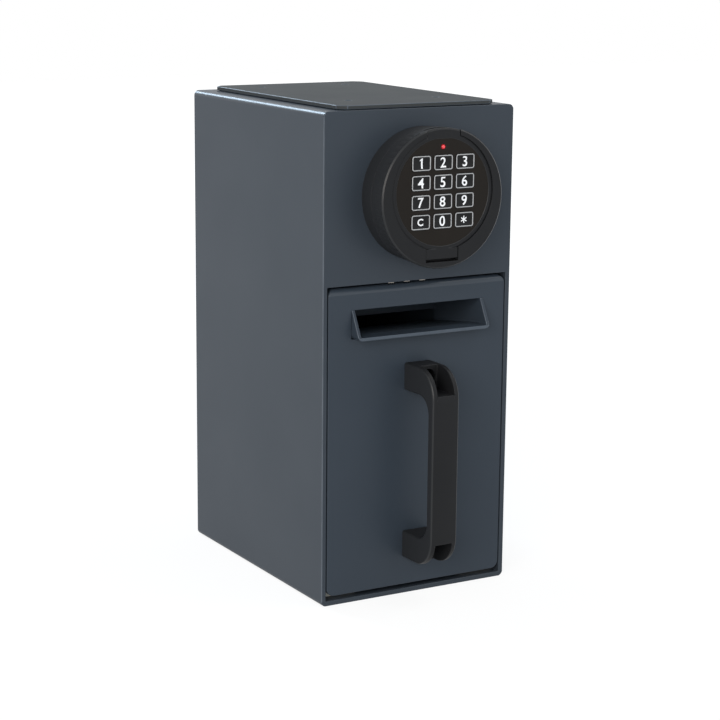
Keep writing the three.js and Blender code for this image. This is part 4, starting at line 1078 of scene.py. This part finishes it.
    def build_screw(self, node: str, name: str) -> None:
        """Grows one socket screw inside its frame node's box.

        Args:
            node: the frame node that it replaces.
            name: the new piece's name.
        """
        low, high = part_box(node)
        middle = middle_of(node)
        values = {
            "Round Steps": self.round_steps, "Head Radius": (high.x - low.x) / 2,
            "Head Height": self.head_height * MM, "Shank Radius": self.shank_radius * MM,
            "Length": high.y - low.y, "Socket Radius": self.socket_radius * MM,
            "Socket Depth": self.socket_depth * MM, "Place": (middle.x, low.y, middle.z)}
        screw = grown(name, self.screw_tree(values), values)
        soften(screw, self.screw_edge)
        fit_out(screw, Body.DRAWER, Slot.DARK_STEEL, node)

    def screw_tree(self, values: dict[str, object]) -> NodeTree:
        """Makes the tree of a socket screw whose head's front lies at its place and whose shank runs to +Y.

        Args:
            values: the names and values of the tree's inputs.

        Returns:
            The tree.
        """
        bench = GroupBench("socket_screw", values, "Geometry", Family.GEOMETRY)
        given = bench.given
        head = self.rod(bench, given["Round Steps"], given["Head Radius"], given["Head Height"])
        shank = self.rod(bench, given["Round Steps"], given["Shank Radius"], given["Length"])
        depth = given["Socket Depth"]
        socket = self.rod(bench, self.socket_sides, given["Socket Radius"],
                          bench.math("MULTIPLY", depth, 2.0), bench.math("MULTIPLY", depth, -1.0))
        whole = bench.add("GeometryNodeMeshBoolean", settings={"operation": "UNION"}, Mesh_2=head)
        bench.feed(whole, "Mesh 2", shank)
        cut = bench.out("GeometryNodeMeshBoolean", settings={"operation": "DIFFERENCE"},
                        Mesh_1=whole.outputs[0], Mesh_2=socket)
        stood = bench.out("GeometryNodeTransform", Geometry=cut, Translation=given["Place"],
                          Rotation=(-math.pi / 2, 0.0, 0.0))
        return bench.close_in(stood, self.palette.black_steel)

    @staticmethod
    def rod(bench: GroupBench, sides: object, radius: object, length: object,
            start: object = 0.0) -> NodeSocket:
        """Adds a rod along Z.

        Args:
            bench: the tree's bench.
            sides, radius, length: its number of sides and its sizes.
            start: where its lower end lies.

        Returns:
            The rod's mesh socket.
        """
        rod = bench.out("GeometryNodeMeshCylinder", settings={"fill_type": "NGON"},
                        Vertices=sides, Radius=radius, Depth=length)
        rise = bench.math("MULTIPLY_ADD", length, 0.5, start)
        return bench.out("GeometryNodeTransform", Geometry=rod, Translation=bench.vector(Z=rise))


@dataclass
class KeypadLock(SubAssembly):
    """Fixed base, turning knob with its knurl, keypad lid, keys and lamp."""

    mould_edge: EdgeBreak = EdgeBreak(width=0.14)
    # The lid's bevels take the second finish, polished plastic with a painted highlight.
    lid_edge: EdgeBreak = EdgeBreak(width=0.12, finish_index=1)
    lid_centre: float = 252.6
    lid_radius: float = 34.4
    rim_slack: float = 0.06
    rim_growth: float = 0.34
    rim_depth: float = 1.0
    rim_lift: float = 0.45
    polished_index: int = 1
    matt_index: int = 2
    foil_index: int = 2
    chamfer_depth: float = 1.0
    chamfer_facing: Pair = (0.4, 0.9)
    side_facing: float = 0.15
    foil_radius: float = 32.2
    foil_sunk: Pair = (0.15, 0.35)
    foil_facing: float = 0.99
    land_count: int = 58
    land_start: float = 16.4
    land_end: float = 24.5
    land_width: float = 3.3
    land_height: float = 0.32
    land_cuts: int = 4
    land_edge: float = 0.4
    land_spread: float = 1.5
    land_rear_drop: float = 0.6
    land_edge_drop: float = 0.3
    cone_radius: float = 40.3
    cone_tilt: float = 3.07
    bare_half_angle: float = 18.8
    key_corner: float = 1.4
    least_corner: float = 0.2
    key_corner_steps: int = 6
    key_flange: float = 0.6
    key_flange_thickness: float = 0.7
    key_rim: float = 0.62
    key_round: float = 0.3
    key_round_steps: int = 4
    key_dish: float = 0.6
    dish_shares: tuple[float, ...] = (0.97, 0.86, 0.7, 0.5, 0.28, 0.1)
    legend_height: float = 6.0
    small_legend_height: float = 4.3
    legend_thickness: float = 0.12
    legend_proud: Pair = (-0.25, 0.75)
    legend_cuts: int = 9
    legend_curve_steps: int = 6
    legend_weight: float = 0.01
    small_legend_weight: float = 0.022
    star_arms: int = 6
    star_arm: float = 0.62
    one_outline: tuple[Pair, ...] = (
        (0.0, 0.0), (0.165, 0.0), (0.165, 1.0), (0.06, 1.0), (-0.14, 0.86), (-0.14, 0.72), (0.0, 0.8))
    lens_sides: int = 32
    lens_steps: int = 8
    lens_tip: float = 0.06

    def build(self) -> None:
        """Builds the whole lock as it shows from outside and with the lid open."""
        self.build_bodies()
        self.build_knurl()
        legends = {f"key_{n}": str(n) for n in range(1, 10)}
        legends |= {"key_c": "C", "key_0": "0", "key_star": "*"}
        for node, text in legends.items():
            self.build_key(node)
            self.build_legend(node, text)
        self.build_lens()

    def build_bodies(self) -> None:
        """Dresses the lock's mouldings."""
        looks = self.palette
        # The lid's bevels and the knob's chamfer take polished plastic with a painted highlight; the base and
        # the knob's side matt plastic with painted light.
        black = [looks.knob_plastic, looks.worn_plastic]
        base = dressed("knob_base", "lock_base", [looks.matt_plastic], self.mould_edge)
        fit_out(base, Body.HOUSING, Slot.BLACK_PLASTIC, "knob_base")
        shell = dressed("knob_shell", "lock_knob", [*black, looks.matt_plastic], self.mould_edge)
        self.mark_shell(shell)
        fit_out(shell, Body.KNOB, Slot.BLACK_PLASTIC, "knob_shell")
        lid = dressed("keypad_lid", "keypad_cover", [*black, looks.keypad_foil], self.lid_edge)
        self.fill_out(lid)
        self.mark_foil(lid)
        fit_out(lid, Body.LID, Slot.KEYPAD_FACE, "keypad_lid")

    def mark_shell(self, shell: Object) -> None:
        """Gives the chamfer round the knob's front the polished finish with a painted highlight, and its side
        the matt finish with painted light.

        Args:
            shell: the knob's piece.
        """
        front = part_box("knob_shell")[0].y
        rise = middle_of("knob_base").z
        least, most = self.chamfer_facing
        for face in shell.data.polygons:
            away = math.hypot(face.center.x, face.center.z - rise)
            near = front < face.center.y < front + self.chamfer_depth * MM
            if near and least < -face.normal.y < most:
                face.material_index = self.polished_index
            elif away > self.cone_radius * MM and abs(face.normal.y) < self.side_facing:
                face.material_index = self.matt_index

    def fill_out(self, lid: Object) -> None:
        """Pushes the lid's rim out a little, so that the joint round it is as fine as on the real one.

        Args:
            lid: the lid's piece.
        """
        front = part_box("keypad_lid")[0].y
        for vertex in lid.data.vertices:
            across, rise = vertex.co.x, vertex.co.z - self.lid_centre * MM
            away = math.hypot(across, rise)
            if abs(away / MM - self.lid_radius) < self.rim_slack:
                share = 1 + self.rim_growth * MM / away
                vertex.co.x, vertex.co.z = across * share, self.lid_centre * MM + rise * share
                if vertex.co.y < front + self.rim_depth * MM:
                    vertex.co.y -= self.rim_lift * MM

    def mark_foil(self, lid: Object) -> None:
        """Gives the sunken round face inside the lid's rim the foil.

        Args:
            lid: the lid's piece.
        """
        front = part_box("keypad_lid")[0].y
        shallow, deep = self.foil_sunk
        for face in lid.data.polygons:
            sunk = shallow * MM < face.center.y - front < deep * MM
            away = math.hypot(face.center.x, face.center.z - self.lid_centre * MM)
            if sunk and face.normal.y < -self.foil_facing and away < self.foil_radius * MM:
                face.material_index = self.foil_index

    def build_knurl(self) -> None:
        """Grows the lands between the grooves round the knob's side."""
        middle = middle_of("knob_base")
        values = {
            "Count": self.land_count, "Radius": self.cone_radius * MM, "Tilt": math.radians(self.cone_tilt),
            "Start": self.land_start * MM, "End": self.land_end * MM,
            "Bare Half Angle": math.radians(self.bare_half_angle), "Width": self.land_width * MM,
            "Height": self.land_height * MM, "Axis": (middle.x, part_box("knob_base")[1].y, middle.z)}
        fit_out(grown("knob_knurl", self.knurl_tree(values), values), Body.KNOB, Slot.BLACK_PLASTIC)

    def knurl_tree(self, values: dict[str, object]) -> NodeTree:
        """Makes the tree that sets wedge-shaped lands round a cone, bare at the top for the hinge.

        Args:
            values: the names and values of the tree's inputs.

        Returns:
            The tree.
        """
        bench = GroupBench("knurl_lands", values, "Geometry", Family.GEOMETRY)
        given = bench.given
        middle = bench.math("MULTIPLY", bench.math("ADD", given["End"], given["Start"]), 0.5)
        widen = bench.math("MULTIPLY", middle, bench.math("TANGENT", given["Tilt"]))
        circle = bench.out("GeometryNodeMeshCircle", Vertices=given["Count"],
                           Radius=bench.math("ADD", given["Radius"], widen))
        index = bench.math("ADD", bench.out("GeometryNodeInputIndex"), 0.5)
        turn = bench.math("DIVIDE", bench.math("MULTIPLY", index, 2 * math.pi), given["Count"])
        half_step = bench.math("DIVIDE", math.pi, given["Count"])
        spin = bench.out("FunctionNodeEulerToRotation", Euler=bench.vector(Z=half_step))
        spun = bench.out("FunctionNodeRotateVector", bench.out("GeometryNodeInputPosition"), spin)
        raised = bench.out("ShaderNodeVectorMath", spun, bench.vector(Z=middle),
                           settings={"operation": "ADD"})
        points = bench.out("GeometryNodeSetPosition", Geometry=circle, Position=raised)
        past_top = bench.math("WRAP", bench.math("SUBTRACT", turn, math.pi / 2), math.pi, -math.pi)
        covered = bench.math("GREATER_THAN", bench.math("ABSOLUTE", past_top), given["Bare Half Angle"])
        lean = bench.out("FunctionNodeEulerToRotation", Euler=bench.vector(Y=given["Tilt"], Z=turn))
        size = bench.vector(X=bench.math("MULTIPLY", given["Height"], 2.0), Y=given["Width"],
                            Z=bench.math("SUBTRACT", given["End"], given["Start"]))
        placed = bench.out("GeometryNodeInstanceOnPoints", Points=points, Instance=self.land(bench),
                           Selection=covered, Rotation=lean, Scale=size)
        stood = bench.out("GeometryNodeTransform", Geometry=placed, Translation=given["Axis"],
                          Rotation=(math.pi / 2, 0.0, 0.0))
        # The lands take the matt plastic with painted light.
        return bench.close_in(stood, self.palette.matt_plastic)

    def land(self, bench: GroupBench) -> NodeSocket:
        """Adds one land of unit size: a wedge that rises towards the front, with eased long edges.

        Args:
            bench: the tree's bench.

        Returns:
            The land's mesh socket.
        """
        block = bench.out("GeometryNodeMeshCube", Size=(1.0, 1.0, 1.0), Vertices_Y=self.land_cuts)
        at = bench.add("ShaderNodeSeparateXYZ", bench.out("GeometryNodeInputPosition")).outputs
        outer = bench.math("GREATER_THAN", at["X"], 0.0)
        rear = bench.math("LESS_THAN", at["Z"], 0.0)
        side = bench.math("GREATER_THAN", bench.math("ABSOLUTE", at["Y"]), self.land_edge)
        eased = bench.math("MULTIPLY", bench.math("SUBTRACT", 1.0, rear),
                           bench.math("MULTIPLY", side, self.land_edge_drop))
        drop = bench.math("MULTIPLY", outer, bench.math("MULTIPLY_ADD", rear, self.land_rear_drop, eased))
        spread = bench.math("MULTIPLY", bench.math("MULTIPLY", at["Y"], self.land_spread),
                            bench.math("SUBTRACT", 1.0, side))
        offset = bench.vector(X=bench.math("MULTIPLY", drop, -1.0), Y=spread)
        return bench.out("GeometryNodeSetPosition", Geometry=block, Offset=offset)

    def key_size(self, node: str) -> tuple[Vector, Pair, float]:
        """Measures one key.

        Args:
            node: the key's frame node.

        Returns:
            Its front's middle in metres, and its cap's half sizes and depth in millimetres.
        """
        low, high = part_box(node)
        middle = middle_of(node)
        half_x, half_z = ((high[axis] - low[axis]) / 2 / MM - self.key_flange for axis in (0, 2))
        return Vector((middle.x, low.y, middle.z)), (half_x, half_z), (high.y - low.y) / MM

    def rim_section(self, depth: float) -> list[tuple[float, float, int]]:
        """The key's section from its back to the inner foot of its frame.

        Args:
            depth: the key's whole depth in millimetres.

        Returns:
            Steps of outward growth, depth below the front and material index.
        """
        shoulder = depth - self.key_flange_thickness
        rise = arc((-self.key_round, self.key_round), self.key_round, 0, -90, self.key_round_steps)
        return [(self.key_flange, depth, 0), (self.key_flange, shoulder, 0), (0.0, shoulder, 0),
                *((grow, sink, 1) for grow, sink in rise),
                *((-grow - self.key_rim, sink, 1) for grow, sink in reversed(rise))]

    def build_key(self, node: str) -> None:
        """Builds one key: flange, raised light frame and dished middle.

        Args:
            node: the frame node that it replaces.
        """
        front, half, depth = self.key_size(node)
        bands = self.rim_section(depth)
        rings = []
        for grow, sink, _ in bands:
            corner = max(self.key_corner + grow, self.least_corner)
            ring = rounded_ring((half[0] + grow, half[1] + grow), corner, self.key_corner_steps)
            rings.append([(x, sink, z) for x, z in ring])
        hollow = half[0] - self.key_rim, half[1] - self.key_rim
        for share in self.dish_shares:
            corner = (self.key_corner - self.key_rim) * share
            ring = rounded_ring((hollow[0] * share, hollow[1] * share), corner, self.key_corner_steps)
            rings.append([(x, self.dish_at(x, z, half), z) for x, z in ring])
        marks = [mark for _, _, mark in bands[:-1]] + [0] * len(self.dish_shares)
        shape = stacked([[front + Vector(point) * MM for point in ring] for ring in rings], marks)
        key = piece_from(f"{node}_cap", shape, [self.palette.key_plastic, self.palette.key_frame])
        fit_out(key, Body(node), Slot.KEY_PLASTIC, node)

    def dish_at(self, x: float, z: float, half: Pair) -> float:
        """How deep a key's hollow lies behind its front at one place, in millimetres."""
        across, rise = x / (half[0] - self.key_rim), z / (half[1] - self.key_rim)
        return self.key_round + self.key_dish * (1 - across ** 2) * (1 - rise ** 2)

    def build_legend(self, node: str, text: str) -> None:
        """Prints one character in a key's dish.

        Args:
            node: the key's frame node.
            text: the character.
        """
        front, half, _ = self.key_size(node)
        height, weight = ((self.small_legend_height, self.small_legend_weight) if text in "C*" else
                          (self.legend_height, self.legend_weight))
        drawn = {"*": self.star, "1": self.one}
        mesh = drawn[text]() if text in drawn else self.letter(text, weight)
        self.cut_finely(mesh)
        ends = [(min(parts), max(parts)) for parts in zip(*(vertex.co for vertex in mesh.vertices))]
        middle = Vector([(low + high) / 2 for low, high in ends])
        scale = height / (ends[1][1] - ends[1][0])
        for vertex in mesh.vertices:
            x, z = (vertex.co.x - middle.x) * scale, (vertex.co.y - middle.y) * scale
            proud = self.legend_thickness * self.legend_proud[vertex.co.z > middle.z]
            vertex.co = front + Vector((x, self.dish_at(x, z, half) - proud, z)) * MM
        mesh.materials.clear()
        mesh.materials.append(self.palette.legend_ink)
        fit_out(plain_piece(f"{node}_legend", mesh), Body(node), Slot.KEY_PLASTIC)

    def cut_finely(self, mesh: Mesh) -> None:
        """Cuts a character's plate into a grid, so that it can follow the hollow it is printed in.

        Args:
            mesh: the plate, which is changed.
        """
        shape = opened(mesh)
        for axis, normal in enumerate((Vector((1, 0, 0)), Vector((0, 1, 0)))):
            span = [vertex.co[axis] for vertex in shape.verts]
            for i in range(1, self.legend_cuts):
                place = normal * (min(span) + (max(span) - min(span)) * i / self.legend_cuts)
                bmesh.ops.bisect_plane(shape, geom=[*shape.verts, *shape.edges, *shape.faces],
                                       plane_co=place, plane_no=normal)
        poured(shape, mesh)

    def letter(self, text: str, weight: float) -> Mesh:
        """Makes one character as a thick plate in the XY plane.

        Args:
            text: the character.
            weight: how far its outline is pushed out, as a share of the letter size.

        Returns:
            The plate's mesh.
        """
        curve = bpy.data.curves.new("letter", "FONT")
        curve.body, curve.offset, curve.extrude = text, weight, self.legend_thickness
        curve.resolution_u = self.legend_curve_steps
        return settled(linked("letter", curve))

    def star(self) -> Mesh:
        """Makes a bold star with blunt arms as a thick plate in the XY plane.

        Returns:
            The plate's mesh.
        """
        def aim(angle: float) -> Vector:
            """The direction at an angle from the X axis."""
            return Vector((math.cos(angle), math.sin(angle)))

        half_gap = math.pi / self.star_arms
        half, reach = self.star_arm / 2, self.small_legend_height / 2
        points = []
        for arm in range(self.star_arms):
            turn = math.pi / 2 + 2 * arm * half_gap
            along, across = aim(turn) * reach, aim(turn + math.pi / 2) * half
            points += [along - across, along + across, aim(turn + half_gap) * half / math.sin(half_gap)]
        return self.plate(points)

    def one(self) -> Mesh:
        """Makes a bold one with a short flag as a thick plate in the XY plane."""
        return self.plate(self.one_outline)

    @staticmethod
    def plate(outline: Sequence[Pair]) -> Mesh:
        """Thickens an outline into a plate in the XY plane."""
        shape = stacked([[Vector((x, y, level)) for x, y in outline] for level in (0.0, 1.0)])
        return poured(shape, bpy.data.meshes.new("plate"))

    def build_lens(self) -> None:
        """Builds the lamp's domed lens."""
        low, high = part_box("lamp_lens")
        middle = middle_of("lamp_lens")
        radius, depth = (high.x - low.x) / 2 / MM, (high.y - low.y) / MM
        dome = arc((0.0, depth - radius), radius, 0, 90, self.lens_steps)
        profile = [(radius, 0.0), *dome[:-1], (radius * self.lens_tip, depth)]
        glow = LampFinish(
            "red_lamp_lens", (120, 10, 16), (214, 60, 66), (180, 40, 40), roughness=0.2,
            roughness_spread=0.05, grain_size=0.3, grain_depth=0.0005, centre=(middle.x, middle.z),
            radius=radius).build()
        shape = turned(profile, self.lens_sides, Vector((middle.x, high.y, middle.z)))
        fit_out(piece_from("lamp_dome", shape, [glow]), Body.LID, Slot.RED_LENS, "lamp_lens")


@dataclass
class InnerWorks(SubAssembly):
    """What shows only with the lid open, the drawer out or the panel off: frame nodes that stay in view."""

    def build(self) -> None:
        """Gives the carried-over nodes their finishes."""
        looks = self.palette
        kept = (
            (looks.zinc, "base_screw_left", "base_screw_right", "spindle", "guide_stud_lower",
             "guide_stud_upper", "lock_case", "case_nut_lower", "case_nut_upper", "solenoid_plunger",
             "solenoid_screw_lower", "solenoid_screw_upper", "contact_minus", "contact_plus",
             "contact_bridge_left", "contact_bridge_right"),
            (looks.black_steel, "spindle_clip", "spindle_screw_lower", "spindle_screw_upper",
             "solenoid_frame", "lid_hinge_pin"),
            (looks.cut_steel, "drive_pinion", "bolt_comb"), (looks.brass, "spindle_bush"),
            (looks.coil_tape, "solenoid_coil"), (looks.board, "circuit_board"),
            (looks.cell_foil, "battery_cell_1", "battery_cell_2", "battery_cell_3"))
        for finish, *nodes in kept:
            for node in nodes:
                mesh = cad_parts[node].data
                mesh.materials.clear()
                mesh.materials.append(finish)
                LOG.info("%s kept, in %s", node, finish.name)


# Studio

@dataclass(frozen=True)
class SoftLamp:
    """A square soft lamp: its place, its target and its side in metres, its power in watts, its colour."""

    name: str
    place: Place
    target: Place
    side: float
    power: float
    colour: Place = (1.0, 1.0, 1.0)

    def build(self) -> None:
        """Adds the lamp."""
        data = bpy.data.lights.new(self.name, "AREA")
        data.shape, data.size, data.energy, data.color = "SQUARE", self.side, self.power, self.colour
        lamp = linked(self.name, data)
        lamp.location = self.place
        lamp.visible_camera = False
        look = Vector(self.target) - Vector(self.place)
        lamp.rotation_euler = look.to_track_quat("-Z", "Y").to_euler()


@dataclass(frozen=True)
class StudioCamera:
    """The photograph's viewpoint: angles in degrees, lengths in metres, lens and sensor in millimetres."""

    azimuth: float = -30.1145
    elevation: float = 12.0574
    roll: float = 0.5293
    distance: float = 1.20167
    target: Place = (-0.04045, -0.087, 0.1511)
    lens: float = 100.47
    sensor: float = 36.0

    def build(self) -> None:
        """Adds the camera and makes it the scene's."""
        data = bpy.data.cameras.new("photo_camera")
        data.lens, data.sensor_width = self.lens, self.sensor
        camera = linked("photo_camera", data)
        turn, rise, lean = (math.radians(angle) for angle in (self.azimuth, self.elevation, self.roll))
        back = Vector((math.sin(turn) * math.cos(rise), -math.cos(turn) * math.cos(rise), math.sin(rise)))
        right = Vector((0.0, 0.0, 1.0)).cross(back).normalized()
        up = back.cross(right)
        across = right * math.cos(lean) + up * math.sin(lean)
        above = up * math.cos(lean) - right * math.sin(lean)
        facing = Matrix((across, above, back)).transposed().to_4x4()
        camera.matrix_world = Matrix.Translation(Vector(self.target) + back * self.distance) @ facing
        bpy.context.scene.camera = camera


@dataclass
class Studio:
    """Pale floor, soft lamps and a white surround; lengths in metres."""

    floor_half: float = 4.0
    floor_level: float = -0.0002
    floor_bounce: Colour = (0.6, 0.6, 0.6, 1.0)
    floor_seen: Colour = (0.14, 0.14, 0.14, 1.0)
    floor_glow: float = 0.87
    glow_near: float = 0.45
    glow_far: float = 1.1
    surround: Colour = (0.86, 0.94, 1.0, 1.0)
    surround_strength: float = 0.64
    lamps: tuple[SoftLamp, ...] = (
        SoftLamp("top_lamp", (1.0, -0.5, 2.1), (0.0, 0.0, 0.15), 1.0, 11.0),
        SoftLamp("left_lamp", (-1.9, -1.65, 1.0), (0.0, 0.0, 0.2), 1.5, 52.0, (1.0, 0.93, 0.87)),
        SoftLamp("front_lamp", (1.0, -2.1, 0.8), (0.0, 0.0, 0.15), 1.8, 6.0, (0.92, 0.97, 1.0)),
        SoftLamp("rear_lamp", (-0.62, 2.3, 1.62), (0.0, 0.0, 0.3), 0.85, 40.0, (0.66, 0.83, 1.0)))

    def build(self) -> None:
        """Sets up the scene round the safe."""
        bpy.context.scene.view_settings.view_transform = "Standard"
        self.build_world()
        self.build_floor()
        for lamp in self.lamps:
            lamp.build()
        StudioCamera().build()

    def build_world(self) -> None:
        """Makes the surround: white where it is seen, soft and dim as a light."""
        world = bpy.data.worlds.new("studio_surround")
        bpy.context.scene.world = world
        world.use_nodes = True
        bench = NodeBench(world.node_tree)
        dim = bench.out("ShaderNodeBackground", Color=self.surround, Strength=self.surround_strength)
        white = bench.out("ShaderNodeBackground", Color=WHITE, Strength=1.0)
        mixed = bench.out("ShaderNodeMixShader", self.direct_rays(bench), dim, white)
        bench.add("ShaderNodeOutputWorld", Surface=mixed)

    @staticmethod
    def direct_rays(bench: NodeBench) -> NodeSocket:
        """Tells the rays that see the white surround from those that light the safe.

        Args:
            bench: the tree's bench.

        Returns:
            One for camera, glossy and transmission rays, and zero for the others.
        """
        path = bench.add("ShaderNodeLightPath").outputs
        seen = bench.math("MAXIMUM", path["Is Camera Ray"], path["Is Glossy Ray"])
        return bench.math("MAXIMUM", seen, path["Is Transmission Ray"])

    def build_floor(self) -> None:
        """Makes the floor: near white with a faint shadow by the safe, plain white further off."""
        shape = bmesh.new()
        half = self.floor_half
        corners = ((-half, -half), (half, -half), (half, half), (-half, half))
        shape.faces.new([shape.verts.new((x, y, self.floor_level)) for x, y in corners])
        material, bench = new_material("studio_floor")
        away = bench.add("ShaderNodeVectorMath", bench.place(), settings={"operation": "LENGTH"})
        far = bench.out("ShaderNodeMapRange", settings={"interpolation_type": "SMOOTHSTEP"},
                        Value=away.outputs["Value"], From_Min=self.glow_near, From_Max=self.glow_far,
                        To_Min=self.floor_glow, To_Max=1.0)
        direct = self.direct_rays(bench)
        seen = bench.blend(direct, self.floor_bounce, self.floor_seen)
        matt = bench.out("ShaderNodeBsdfDiffuse", Color=seen)
        glow = bench.out("ShaderNodeEmission", Color=WHITE, Strength=bench.math("MULTIPLY", direct, far))
        bench.add("ShaderNodeOutputMaterial", Surface=bench.out("ShaderNodeAddShader", matt, glow))
        piece_from("studio_floor", shape, [material])


def main() -> None:
    """Builds the safe's looks and the studio round it."""
    logging.basicConfig(level=logging.INFO, format="%(name)s: %(message)s")
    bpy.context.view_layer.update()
    palette = Palette()
    for maker in (Housing(palette), Drawer(palette), PullHandle(palette), KeypadLock(palette),
                  InnerWorks(palette), Studio()):
        maker.build()


if __name__ == "__main__":
    main()
